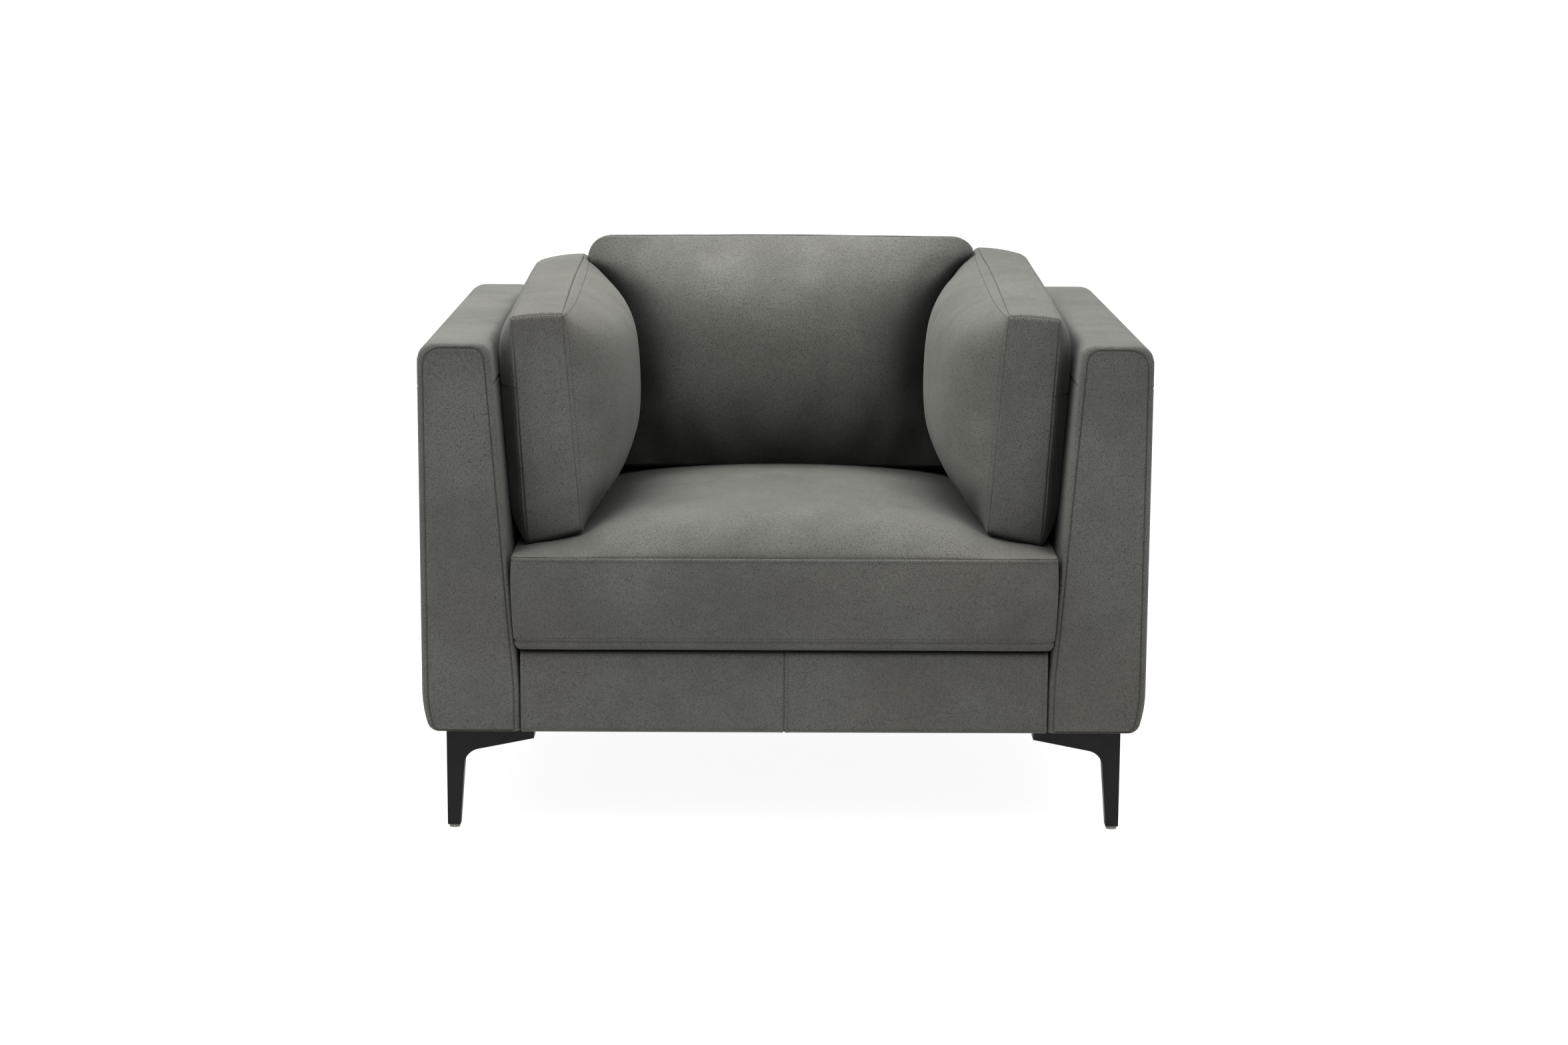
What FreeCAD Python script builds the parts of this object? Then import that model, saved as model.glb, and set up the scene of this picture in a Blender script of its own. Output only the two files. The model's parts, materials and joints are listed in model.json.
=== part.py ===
import FreeCAD, Part
import os
import Sketcher

# Upholstered armchair with loose seat, back and arm cushions on four cast corner legs.
# Millimetres, +Z up. The front faces -Y, and the origin is the bottom centre of the chair's box.

os.makedirs("parts", exist_ok=True)
doc = FreeCAD.newDocument("Armchair")
dims = doc.addObject("Spreadsheet::Sheet", "Dimensions")
V = FreeCAD.Vector

SIZES = [
    ("body_half_width", 530, "outside of the arms"),
    ("front_face", -415, "front of the arms and front rail"),
    ("rear_face", 435, "outside back"),
    ("leg_top", 154, "underside of the dust cover"),
    ("body_bottom", 155, "underside of the upholstered body"),
    ("arm_top", 729, "top of the arms"),
    ("arm_foot", 386, "inner face of an arm below the seat"),
    ("arm_lean_start", 224, "height where the arm's inner face starts to lean out"),
    ("arm_lean", 0.078, "outward lean of the inner face, per mm of height"),
    ("arm_top_radius_inner", 19, "inner top edge of an arm"),
    ("arm_top_radius_outer", 13, "outer top edge of an arm"),
    ("rear_corner_radius", 45, "rear outer corner of an arm, in plan"),
    ("leather", 2, "upholstery leather"),
    ("arm_padding", 18, "leather and foam on an arm"),
    ("slip", 0.2, "gap between layers"),
    ("gap", 1, "gap between frame parts"),
    ("overrun", 10, "how far a cutting tool passes a face"),
    ("board", 18, "plywood boards"),
    ("panel", 4, "hardboard on the outside of an arm"),
    ("top_rail_inner", 442, "inner face of an arm's top rail"),
    ("top_rail", 20, "thickness of an arm's top rail"),
    ("deck_top", 278, "top of the deck under the seat cushion"),
    ("rail_top", 256, "top of the seat frame"),
    ("rail_depth", 25, "thickness of the seat frame rails"),
    ("rail_front", -396, "front of the front rail"),
    ("rail_rear", 385, "rear of the rear rail"),
    ("rail_cover_depth", 70, "how far the rail cover runs back over the deck"),
    ("rail_cover_radius", 12, "top front edge of the rail cover"),
    ("spring_space", 9, "room for the springs above the seat frame"),
    ("deck_cloth", 2, "cloth over the deck"),
    ("dust_inset", 6, "dust cover inside the body's outline"),
    ("seat_rail_outer", 383.4, "outer face of the seat side rails"),
    ("back_front", 303, "front of the inside back"),
    ("back_radius", 20, "top front edge of the back"),
    ("post_front", 386, "front of the back posts"),
    ("post_depth", 44, "depth of the back posts"),
    ("post_width", 45, "width of the back posts and rails"),
    ("back_frame_drop", 21, "top of the back frame below the arm top"),
    ("back_rise", 12, "bottom of the back above the seat frame"),
    ("leg_outer", 498, "outer face of a leg"),
    ("leg_setback", 34, "leg behind the front face"),
    ("leg_wing", 129, "length of a leg's mounting wings"),
    ("leg_wing_tip", 17, "depth of a wing at its tip"),
    ("leg_wing_root", 37.4, "depth of a wing at the post"),
    ("leg_post_top", 27, "post width at the wing"),
    ("leg_post_bottom", 19, "post width at the foot"),
    ("leg_fillet", 26, "inside corner between wing and post"),
    ("wing_width", 30, "width of the wing tips in plan"),
    ("glide_height", 5, "glide below the leg"),
    ("glide_radius", 8, "glide"),
    ("glide_stem_radius", 3, "glide stem"),
    ("glide_stem", 11, "length of the glide stem"),
    ("screw_radius", 3, "leg screws"),
    ("screw_head_radius", 6, "leg screw heads"),
    ("screw_head", 3, "thickness of a leg screw head"),
    ("screw_near", 13, "leg screws from the near side of the wing"),
    ("screw_middle", 50, "leg screw between the wings"),
    ("screw_far", 80, "leg screws along the wing"),
    ("screw_slack", 0.05, "clearance of a screw in its block"),
    ("screw_grip", 4, "leg metal under a screw head"),
    ("screw_reach", 24, "leg screw length above the leg"),
    ("block_height", 34, "leg blocks"),
    ("block_rear", -250, "rear of the front leg blocks"),
    ("bolt_radius", 4, "arm bolts"),
    ("bolt_clearance", 0.5, "clearance of a bolt in its hole"),
    ("bolt_head_radius", 8, "arm bolt heads"),
    ("bolt_head", 5, "thickness of a bolt head"),
    ("bolt_tail", 4, "bolt past its nut"),
    ("bolt_height", 221, "height of the arm bolts"),
    ("bolt_front_y", -300, "front arm bolt"),
    ("bolt_middle_y", 10, "middle arm bolt"),
    ("bolt_rear_y", 300, "rear arm bolt"),
    ("nut_radius", 5.1, "tee nut barrel"),
    ("nut_barrel", 12, "tee nut barrel length"),
    ("nut_flange_radius", 10, "tee nut flange"),
    ("nut_flange", 1.5, "tee nut flange thickness"),
    ("bolt_rail_inner", 407, "inner face of the arm's bolt rail"),
    ("bolt_rail_depth", 22, "thickness of the arm's bolt rail"),
    ("bolt_rail_above", 30, "bolt rail above the bolts"),
    ("wire_radius", 1.9, "sinuous spring wire"),
    ("spring_pitch", 26, "distance between spring bars"),
    ("spring_bars", 29, "bars on each spring"),
    ("spring_arm", 14, "half length of the straight part of a bar"),
    ("spring_spacing", 150, "distance between springs"),
    ("spring_setback", 14, "first spring bar behind the front of the rail"),
    ("clip_half_width", 10, "spring clips"),
    ("clip_half_depth", 7, "spring clips"),
    ("clip_wall", 0.9, "spring clips above and below the wire"),
    ("strap_width", 55, "back webbing straps"),
    ("strap", 1, "webbing thickness"),
    ("strap_space", 3.4, "room for the webbing in front of the posts"),
    ("strap_spacing_x", 180, "distance between upright straps"),
    ("strap_spacing_z", 130, "distance between crosswise straps"),
    ("strap_middle_z", 490, "height of the middle crosswise strap"),
    ("seat_half_width", 396, "seat cushion"),
    ("seat_front", -435, "front of the seat cushion"),
    ("seat_rear", 302.4, "rear of the seat cushion"),
    ("seat_bottom", 278.4, "bottom of the seat cushion"),
    ("seat_top", 419, "top seam of the seat cushion"),
    ("seat_taper", 11, "how much each side narrows towards the bottom"),
    ("seat_foot_setback", 8, "bottom front edge behind the top front edge"),
    ("seat_crown", 70, "crown of the seat above its seam"),
    ("crown_half_width", 290, "half width of the seat's crown"),
    ("crown_sink", 5, "crown's base below the top seam, so the two solids join"),
    ("back_half_width", 290, "back cushion"),
    ("back_thickness", 160, "back cushion boxing"),
    ("back_height", 366.5, "back cushion"),
    ("back_corner", 60, "front corners of the back cushion, in plan"),
    ("back_lean", 12, "back cushion, degrees from upright"),
    ("back_foot_y", 62.2, "bottom front edge of the back cushion"),
    ("back_foot_z", 475.5, "bottom front edge of the back cushion"),
    ("back_crown_front", 22, "back cushion"),
    ("back_crown_rear", 14, "back cushion"),
    ("armrest_front", -358, "front of the arm cushions"),
    ("armrest_length", 640, "arm cushions"),
    ("armrest_thickness", 78, "arm cushion boxing"),
    ("armrest_height_front", 342, "arm cushions at the front"),
    ("armrest_height_rear", 368, "arm cushions at the rear"),
    ("armrest_lean", 3.4, "arm cushions, degrees from upright"),
    ("armrest_foot_x", 378, "outer bottom edge of an arm cushion"),
    ("armrest_foot_z", 421, "outer bottom edge of an arm cushion"),
    ("armrest_floor_rise", 15, "how far the bottom rises towards the seat"),
    ("armrest_crown_in", 74, "arm cushion, towards the seat"),
    ("armrest_crown_out", 22, "arm cushion, towards the arm"),
    ("cushion_leather", 1.8, "cushion leather"),
    ("core_slack", 0.6, "gap between a core and its cover"),
    ("seat_zip", 620, "length of the seat cushion's zip"),
    ("back_zip", 460, "length of the back cushion's zip"),
    ("armrest_zip", 540, "length of an arm cushion's zip"),
    ("zip_margin", 8, "channel past each end of a zip"),
    ("zip_recess", 6, "depth of the channel a zip lies in"),
    ("zip_recess_width", 16, "width of that channel"),
    ("zip_tape_width", 13, "zip tape"),
    ("zip_tape", 0.8, "zip tape thickness"),
    ("zip_neck_width", 2.4, "zip, under the coil"),
    ("zip_neck", 1.2, "zip, under the coil"),
    ("zip_coil_width", 5.6, "zip coil"),
    ("zip_coil", 1.6, "zip coil thickness"),
    ("slider_length", 12, "zip slider"),
    ("slider_width", 9, "zip slider"),
    ("slider_lid", 1, "thickness of the slider over the coil"),
    ("slider_start", 4, "slider from the end of the zip"),
    ("running", 0.3, "clearance of a slider round the coil"),
]
for row, (alias, value, note) in enumerate(SIZES, start=1):
    dims.set("A%d" % row, note)
    dims.set("B%d" % row, str(value))
    dims.setAlias("B%d" % row, alias)
doc.recompute()


def bound(formula):
    """A formula over the sheet's aliases, ready for setExpression."""
    words = []
    word = ""
    for mark in str(formula) + " ":
        if mark.isalnum() or mark in "_.":
            word += mark
            continue
        is_alias = any(word == alias for alias, _value, _note in SIZES)
        words.append("Dimensions." + word if is_alias else word)
        words.append(mark)
        word = ""
    return "".join(words).strip()


def number(formula):
    """The value of the same formula."""
    return float(dims.evalExpression(str(formula)))


def place(thing, x="0", y="0", z="0"):
    for axis, formula in (("x", x), ("y", y), ("z", z)):
        thing.setExpression("Placement.Base." + axis, bound(formula))
    return thing


def box(label, x, y, z):
    """A box between two formulas along each axis."""
    thing = doc.addObject("Part::Box", label)
    for side, (low, high) in (("Length", x), ("Width", y), ("Height", z)):
        thing.setExpression(side, bound("(%s) - (%s)" % (high, low)))
    return place(thing, x[0], y[0], z[0])


def rod(label, radius, length, axis, x, y, z):
    """A cylinder that starts at a point and runs along +X, +Y or +Z."""
    thing = doc.addObject("Part::Cylinder", label)
    turns = {
        "x": FreeCAD.Rotation(V(0, 1, 0), 90),
        "y": FreeCAD.Rotation(V(1, 0, 0), -90),
        "z": FreeCAD.Rotation(),
    }
    thing.Placement.Rotation = turns[axis]
    thing.setExpression("Radius", bound(radius))
    thing.setExpression("Height", bound(length))
    return place(thing, x, y, z)


def cut(label, base, tool):
    thing = doc.addObject("Part::Cut", label)
    thing.Base = base
    thing.Tool = tool
    return thing


def fuse(label, things):
    thing = doc.addObject("Part::MultiFuse", label)
    thing.Shapes = things
    return thing


def group(label, things):
    thing = doc.addObject("Part::Compound", label)
    thing.Links = things
    return thing


def common(label, things):
    thing = doc.addObject("Part::MultiCommon", label)
    thing.Shapes = things
    return thing


def mirror(label, source, normal, base=V(0, 0, 0)):
    thing = doc.addObject("Part::Mirroring", label)
    thing.Source = source
    thing.Normal = normal
    thing.Base = base
    return thing


def prism(label, plane, corners, length):
    """A padded outline: each corner is a pair of formulas in the plane's own axes."""
    body = doc.addObject("PartDesign::Body", label)
    sketch = body.newObject("Sketcher::SketchObject", label + "_outline")
    origin_plane = [item for item in body.Origin.OriginFeatures if item.Role == plane][0]
    sketch.AttachmentSupport = (origin_plane, "")
    sketch.MapMode = "FlatFace"
    points = [V(number(across), number(along), 0) for across, along in corners]
    for index, point in enumerate(points):
        after = points[(index + 1) % len(points)]
        sketch.addGeometry(Part.LineSegment(point, after), False)
    for index in range(len(points)):
        after = (index + 1) % len(points)
        sketch.addConstraint(Sketcher.Constraint("Coincident", index, 2, after, 1))
    for index, (across, along) in enumerate(corners):
        for kind, formula in (("DistanceX", across), ("DistanceY", along)):
            rule = Sketcher.Constraint(kind, -1, 1, index, 1, number(formula))
            place_in_list = sketch.addConstraint(rule)
            sketch.setExpression("Constraints[%d]" % place_in_list, bound(formula))
    pad = body.newObject("PartDesign::Pad", label + "_pad")
    pad.Profile = sketch
    pad.setExpression("Length", bound(length))
    doc.recompute()
    return body


def round_edges(body, label, radius, wanted):
    """Fillet the edges of the body's tip for which wanted(edge) is true."""
    tip = body.Tip
    names = []
    for index, edge in enumerate(tip.Shape.Edges, start=1):
        if wanted(edge):
            names.append("Edge%d" % index)
    fillet = body.newObject("PartDesign::Fillet", label)
    fillet.Base = (tip, names)
    fillet.setExpression("Radius", bound(radius))
    doc.recompute()
    return body


def runs_along(edge, direction):
    return abs(edge.tangentAt(edge.FirstParameter).dot(direction)) > 0.99


# ---- Arms: leather over foam over a plywood frame --------------------------------------------

ALONG_Y = V(0, 1, 0)
ALONG_Z = V(0, 0, 1)


def arm_block(label, inset, bottom):
    """The solid arm, drawn in by an inset on every side but the bottom."""
    lean = "arm_lean * (arm_top - arm_lean_start - %s)" % inset
    corners = [
        ("arm_foot + %s" % inset, bottom),
        ("body_half_width - %s" % inset, bottom),
        ("body_half_width - %s" % inset, "arm_top - %s" % inset),
        ("arm_foot + %s + %s" % (inset, lean), "arm_top - %s" % inset),
        ("arm_foot + %s" % inset, "arm_lean_start"),
    ]
    body = prism(label, "XZ_Plane", corners, "rear_face - front_face - 2 * (%s)" % inset)
    depth = number("rear_face - front_face - 2 * (%s)" % inset)
    top = number("arm_top - %s" % inset)
    middle = number("(arm_foot + body_half_width) / 2")

    def rear_outer(edge):
        at = edge.CenterOfMass
        return runs_along(edge, ALONG_Z) and at.x > middle and at.y > -1

    def top_inner(edge):
        at = edge.CenterOfMass
        return runs_along(edge, ALONG_Y) and at.x < middle and at.z > top - 1

    def top_outer(edge):
        at = edge.CenterOfMass
        return runs_along(edge, ALONG_Y) and at.x > middle and at.z > top - 1 and at.y < -depth / 3

    round_edges(body, label + "_corner", "rear_corner_radius - %s" % inset, rear_outer)
    round_edges(body, label + "_inner_edge",
                "max(arm_top_radius_inner - %s; 1)" % inset, top_inner)
    round_edges(body, label + "_outer_edge",
                "max(arm_top_radius_outer - %s; 1)" % inset, top_outer)
    place(body, y="rear_face - %s" % inset)
    return body


BOLT_PLACES = ["bolt_front_y", "bolt_middle_y", "bolt_rear_y"]
BOLT_HOLE = "bolt_radius + bolt_clearance"


def bolt_holes(label, radius, start, length):
    """Cylinders on the three arm bolt axes of the right arm."""
    rods = []
    for index, along in enumerate(BOLT_PLACES):
        name = "%s_%d" % (label, index)
        rods.append(rod(name, radius, length, "x", start, along, "bolt_height"))
    return fuse(label, rods)


def arm_cover():
    leather = cut("right_arm_leather", arm_block("arm_outside", "0", "body_bottom"),
                  arm_block("arm_under_leather", "leather", "body_bottom - overrun"))
    holes = bolt_holes("arm_cover_holes", BOLT_HOLE, "arm_foot - overrun", "2 * overrun")
    return cut("right_arm_cover", leather, holes)


def arm_foam():
    skin = "(leather + slip)"
    foam = cut("right_arm_padding", arm_block("arm_foam_outside", skin, "body_bottom + gap"),
               arm_block("arm_cavity", "arm_padding", "body_bottom - overrun"))
    holes = bolt_holes("arm_foam_holes", BOLT_HOLE, "arm_foot", "arm_padding + overrun")
    return cut("right_arm_foam", foam, holes)


def arm_board(label, outer_inset, rear):
    """A plywood end board that fills the arm's cavity, its rear face at the formula rear."""
    inset = "(arm_padding + 3 * slip)"
    lean = "arm_lean * (arm_top - arm_lean_start - %s)" % inset
    corners = [
        ("arm_foot + %s" % inset, "body_bottom + gap"),
        ("body_half_width - %s - %s" % (inset, outer_inset), "body_bottom + gap"),
        ("body_half_width - %s - %s" % (inset, outer_inset), "arm_top - %s" % inset),
        ("arm_foot + %s + %s" % (inset, lean), "arm_top - %s" % inset),
        ("arm_foot + %s" % inset, "arm_lean_start"),
    ]
    board = prism(label, "XZ_Plane", corners, "board")
    return place(board, y=rear)


CAVITY_FRONT = "(front_face + arm_padding + 3 * slip)"
CAVITY_REAR = "(rear_face - arm_padding - 3 * slip)"
CAVITY_OUTER = "(body_half_width - arm_padding - 3 * slip)"
BETWEEN_BOARDS = ("%s + board + slip" % CAVITY_FRONT, "%s - board - slip" % CAVITY_REAR)


def arm_frame():
    front = arm_board("right_arm_front_board", "0", "%s + board" % CAVITY_FRONT)
    rear = arm_board("right_arm_rear_board", "rear_corner_radius - arm_padding", CAVITY_REAR)
    top = "(arm_top - arm_padding - gap)"
    above_blocks = "body_bottom + block_height + 3 * gap"
    top_rail = box("right_arm_top_rail", ("top_rail_inner", "%s - panel - gap" % CAVITY_OUTER),
                   BETWEEN_BOARDS, ("%s - top_rail" % top, top))
    panel = box("right_arm_panel", ("%s - panel" % CAVITY_OUTER, CAVITY_OUTER),
                (BETWEEN_BOARDS[0], "rear_face - arm_padding - rear_corner_radius"),
                (above_blocks, top))
    plank = box("arm_bolt_plank", ("bolt_rail_inner", "bolt_rail_inner + bolt_rail_depth"),
                BETWEEN_BOARDS, (above_blocks, "bolt_height + bolt_rail_above"))
    bores = bolt_holes("bolt_rail_bores", "nut_radius + slip / 2", "bolt_rail_inner - overrun",
                       "bolt_rail_depth + 2 * overrun")
    bolt_rail = cut("right_arm_bolt_rail", plank, bores)
    return [front, rear, top_rail, panel, bolt_rail]


# ---- Legs, their screws and the blocks they bolt into ----------------------------------------

SCREW_PLACES = [("screw_far", "screw_near"), ("screw_near", "screw_far"),
                ("screw_middle", "screw_middle")]
LEG_X = "-leg_outer"
LEG_Y = "front_face + leg_setback"
MIDDLE_Y = number("(front_face + rear_face) / 2")


# Side outline of a leg: post and tapering wing, from its top corner.
WING = [
    ("0", "0"),
    ("leg_wing", "0"),
    ("leg_wing", "-leg_wing_tip"),
    ("leg_post_top", "-leg_wing_root"),
    ("leg_post_bottom", "glide_height - leg_top"),
    ("0", "glide_height - leg_top"),
]


def front_left_leg():
    def inside_corner(edge):
        at = edge.CenterOfMass
        post = number("leg_post_top")
        root = number("leg_wing_root")
        on_post = abs(abs(at.x) - post) < 0.5 or abs(abs(at.y) - post) < 0.5
        return abs(at.z + root) < 0.5 and on_post

    seen_from_front = prism("leg_front_outline", "XZ_Plane", WING, "leg_wing")
    round_edges(seen_from_front, "leg_front_fillet", "leg_fillet", inside_corner)
    place(seen_from_front, y="leg_wing")
    seen_from_side = prism("leg_side_outline", "YZ_Plane", WING, "leg_wing")
    round_edges(seen_from_side, "leg_side_fillet", "leg_fillet", inside_corner)
    plan = [("0", "0"), ("leg_wing", "0"), ("leg_wing", "wing_width"),
            ("wing_width", "leg_wing"), ("0", "leg_wing")]
    seen_from_top = prism("leg_plan_outline", "XY_Plane", plan, "leg_top")
    place(seen_from_top, z="-leg_top")
    casting = common("leg_casting", [seen_from_front, seen_from_side, seen_from_top])

    tools = []
    for index, (across, along) in enumerate(SCREW_PLACES):
        shank = rod("leg_hole_%d" % index, "screw_radius + slip", "screw_grip + 2 * overrun",
                    "z", across, along, "-screw_grip - overrun")
        seat = rod("leg_seat_%d" % index, "screw_head_radius + slip", "leg_wing_root + overrun",
                   "z", across, along, "-screw_grip - leg_wing_root - overrun")
        tools += [shank, seat]
    tools.append(rod("leg_glide_hole", "glide_stem_radius + slip / 2", "glide_stem + 2 * gap",
                     "z", "leg_post_bottom / 2", "leg_post_bottom / 2",
                     "glide_height - leg_top - gap"))
    drilled = cut("front_left_leg", casting, fuse("leg_tools", tools))
    return place(drilled, LEG_X, LEG_Y, "leg_top")


def front_left_screws():
    """Three pan head screws, each a head and a shank in one solid."""
    screws = []
    for index, (across, along) in enumerate(SCREW_PLACES):
        x = "%s + %s" % (LEG_X, across)
        y = "%s + %s" % (LEG_Y, along)
        shank = rod("screw_shank_%d" % index, "screw_radius", "screw_grip + screw_reach", "z",
                    x, y, "leg_top - screw_grip")
        head = rod("screw_head_%d" % index, "screw_head_radius", "screw_head", "z",
                   x, y, "leg_top - screw_grip - screw_head")
        screws.append(fuse("screw_%d" % index, [shank, head]))
    return group("front_left_screws", screws)


def front_left_glide():
    centre = ("%s + leg_post_bottom / 2" % LEG_X, "%s + leg_post_bottom / 2" % LEG_Y)
    disc = rod("glide_disc", "glide_radius", "glide_height", "z", centre[0], centre[1], "0")
    stem = rod("glide_pin", "glide_stem_radius", "glide_stem", "z", centre[0], centre[1],
               "glide_height")
    return fuse("front_left_glide", [disc, stem])


def screw_bores(label, radius, low, high):
    """Bores on the screw axes of the front left leg."""
    bores = []
    for index, (across, along) in enumerate(SCREW_PLACES):
        bores.append(rod("%s_%d" % (label, index), radius, "(%s) - (%s)" % (high, low), "z",
                         "%s + %s" % (LEG_X, across), "%s + %s" % (LEG_Y, along), low))
    return fuse(label, bores)


def front_left_block():
    inner = "-(bolt_rail_inner)"
    outer = "-(%s - 2 * gap)" % CAVITY_OUTER
    block = box("leg_block_blank", (outer, inner), (BETWEEN_BOARDS[0], "block_rear"),
                ("body_bottom + gap", "body_bottom + gap + block_height"))
    bores = screw_bores("block_bores", "screw_radius + screw_slack", "body_bottom - overrun",
                        "leg_top + screw_reach + gap")
    return cut("front_left_block", block, bores)


def four_corners(label, source):
    """The same solid at all four corners of the body."""
    beside = mirror(label + "_beside", source, V(1, 0, 0))
    behind = mirror(label + "_behind", source, V(0, 1, 0), V(0, MIDDLE_Y, 0))
    across = mirror(label + "_across", behind, V(1, 0, 0))
    return [source, beside, behind, across]


# ---- Seat frame, springs and deck ------------------------------------------------------------

def seat_frame():
    bottom = "body_bottom + gap + slip"
    width = ("-seat_rail_outer", "seat_rail_outer")
    front = box("front_rail", width, ("rail_front", "rail_front + rail_depth"),
                (bottom, "rail_top"))
    rear = box("rear_rail", width, ("rail_rear - rail_depth", "rail_rear"), (bottom, "rail_top"))
    plank = box("side_rail_plank", ("seat_rail_outer - rail_depth", "seat_rail_outer"),
                ("rail_front + rail_depth + slip", "rail_rear - rail_depth - slip"),
                (bottom, "rail_top"))
    bores = bolt_holes("side_rail_bores", BOLT_HOLE,
                       "seat_rail_outer - rail_depth - overrun", "rail_depth + 2 * overrun")
    return [front, rear, cut("right_side_rail", plank, bores)]


def arm_bolts():
    """Hex head bolts through the seat side rail into tee nuts in the arm."""
    bolts = []
    nuts = []
    start = "seat_rail_outer - rail_depth"
    nut_face = "bolt_rail_inner + bolt_rail_depth"
    for index, along in enumerate(BOLT_PLACES):
        name = "arm_bolt_%d" % index
        shank = rod(name + "_shank", "bolt_radius", "%s + bolt_tail - (%s)" % (nut_face, start),
                    "x", start, along, "bolt_height")
        head = rod(name + "_head", "bolt_head_radius", "bolt_head", "x",
                   "%s - bolt_head" % start, along, "bolt_height")
        bolts.append(fuse(name, [shank, head]))
        barrel = rod("barrel_%d" % index, "nut_radius", "nut_barrel", "x",
                     "%s - nut_barrel" % nut_face, along, "bolt_height")
        flange = rod("flange_%d" % index, "nut_flange_radius", "nut_flange", "x", nut_face,
                     along, "bolt_height")
        thread = rod("nut_thread_%d" % index, "bolt_radius + screw_slack",
                     "nut_barrel + 2 * overrun", "x", "%s - nut_barrel - overrun" % nut_face,
                     along, "bolt_height")
        nuts.append(cut("tee_nut_%d" % index, fuse("nut_blank_%d" % index, [barrel, flange]),
                        thread))
    return group("right_arm_bolts", bolts), group("right_tee_nuts", nuts)


WIRE_HEIGHT = "(rail_top + wire_radius + clip_wall)"
SPRING_START = "(rail_front + spring_setback)"
SPRING_PLACES = range(-2, 3)


def seat_springs():
    """Five sinuous springs: straight bars joined by half circles, as one swept wire each."""
    pitch = number("spring_pitch")
    reach = number("spring_arm")
    level = number(WIRE_HEIGHT)
    radius = number("wire_radius")
    first = number(SPRING_START)
    bars = int(number("spring_bars"))
    edges = []
    side = 1
    for bar in range(bars):
        y = first + bar * pitch
        start = V(-side * reach, y, level)
        finish = V(side * reach, y, level)
        edges.append(Part.makeLine(start, finish))
        if bar < bars - 1:
            bend = V(side * (reach + pitch / 2), y + pitch / 2, level)
            after = V(side * reach, y + pitch, level)
            edges.append(Part.Arc(finish, bend, after).toShape())
        side = -side
    path = Part.Wire(edges)
    section = Part.Wire([Part.makeCircle(radius, V(-reach, first, level), V(1, 0, 0))])
    wire = path.makePipeShell([section], True, False)
    springs = doc.addObject("Part::Feature", "seat_springs")
    spacing = number("spring_spacing")
    copies = []
    for place_in_row in SPRING_PLACES:
        copy = wire.copy()
        copy.translate(V(place_in_row * spacing, 0, 0))
        copies.append(copy)
    springs.Shape = Part.makeCompound(copies)
    return springs


def spring_clips():
    """A steel clip round each end bar, front and rear."""
    clips = []
    last = "(%s + spring_pitch * (spring_bars - 1))" % SPRING_START
    for row, y in (("front", SPRING_START), ("rear", last)):
        for count, place_in_row in enumerate(SPRING_PLACES):
            name = "clip_%s_%d" % (row, count)
            x = "%d * spring_spacing" % place_in_row
            blank = box(name + "_blank", ("%s - clip_half_width" % x, "%s + clip_half_width" % x),
                        ("%s - clip_half_depth" % y, "%s + clip_half_depth" % y),
                        ("rail_top", "rail_top + 2 * wire_radius + 2 * clip_wall"))
            slot = rod(name + "_slot", "wire_radius + slip / 2",
                       "2 * (clip_half_width + overrun)", "x",
                       "%s - clip_half_width - overrun" % x, y, WIRE_HEIGHT)
            clips.append(cut(name, blank, slot))
    return group("spring_clips", clips)


def deck():
    across = ("-seat_rail_outer", "seat_rail_outer")
    along = ("front_face + rail_cover_depth + gap / 2", "back_front - gap / 2")
    pad = box("deck_pad", across, along,
              ("rail_top + spring_space", "deck_top - deck_cloth - slip"))
    cloth = box("deck_cloth_sheet", across, along, ("deck_top - deck_cloth", "deck_top"))
    cloth.Label = "deck_cloth"
    return [pad, cloth]


def rail_upholstery():
    """Leather and foam over the front and top of the front rail."""
    def hook(label, inset, bottom, rear):
        corners = [
            ("front_face + %s" % inset, bottom),
            (rear, bottom),
            (rear, "deck_top - %s" % inset),
            ("front_face + %s" % inset, "deck_top - %s" % inset),
        ]
        half = "(arm_foot - 2 * slip)"
        block = prism(label, "YZ_Plane", corners, "2 * %s" % half)

        def top_front(edge):
            at = edge.CenterOfMass
            across = runs_along(edge, V(1, 0, 0))
            return across and at.z > number("rail_top") and at.y < number("rail_front")

        round_edges(block, label + "_edge", "rail_cover_radius - %s" % inset, top_front)
        return place(block, x="-%s" % half)

    rear = "front_face + rail_cover_depth"
    skin = "(leather + slip)"
    cover = cut("front_rail_cover", hook("rail_cover_outside", "0", "body_bottom", rear),
                hook("rail_cover_inside", "leather", "body_bottom - overrun",
                     rear + " + overrun"))
    wood = box("rail_foam_core", ("-body_half_width", "body_half_width"),
               ("rail_front - slip", "rear_face"), ("0", "rail_top + spring_space"))
    foam = cut("front_rail_foam",
               hook("rail_foam_outside", skin, "body_bottom + gap + slip", rear), wood)
    return [cover, foam]


def dust_cover():
    """Black cloth under the body, with clearance for the leg screws."""
    corner_size = "rear_corner_radius"
    above = "body_bottom + overrun"
    below = "leg_top - overrun"
    sheet = box("dust_sheet", ("-body_half_width + dust_inset", "body_half_width - dust_inset"),
                ("front_face + dust_inset", "rear_face - dust_inset"), ("leg_top", "body_bottom"))
    corner = box("dust_corner", ("body_half_width - %s" % corner_size, "body_half_width"),
                 ("rear_face - %s" % corner_size, "rear_face"), (below, above))
    other = mirror("dust_corner_other", corner, V(1, 0, 0))
    bore = screw_bores("dust_bore", "screw_radius + bolt_clearance", below, above)
    bores = four_corners("dust_bores", bore)
    return cut("dust_cover", sheet, fuse("dust_tools", bores + [corner, other]))


# ---- Back ------------------------------------------------------------------------------------

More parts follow.
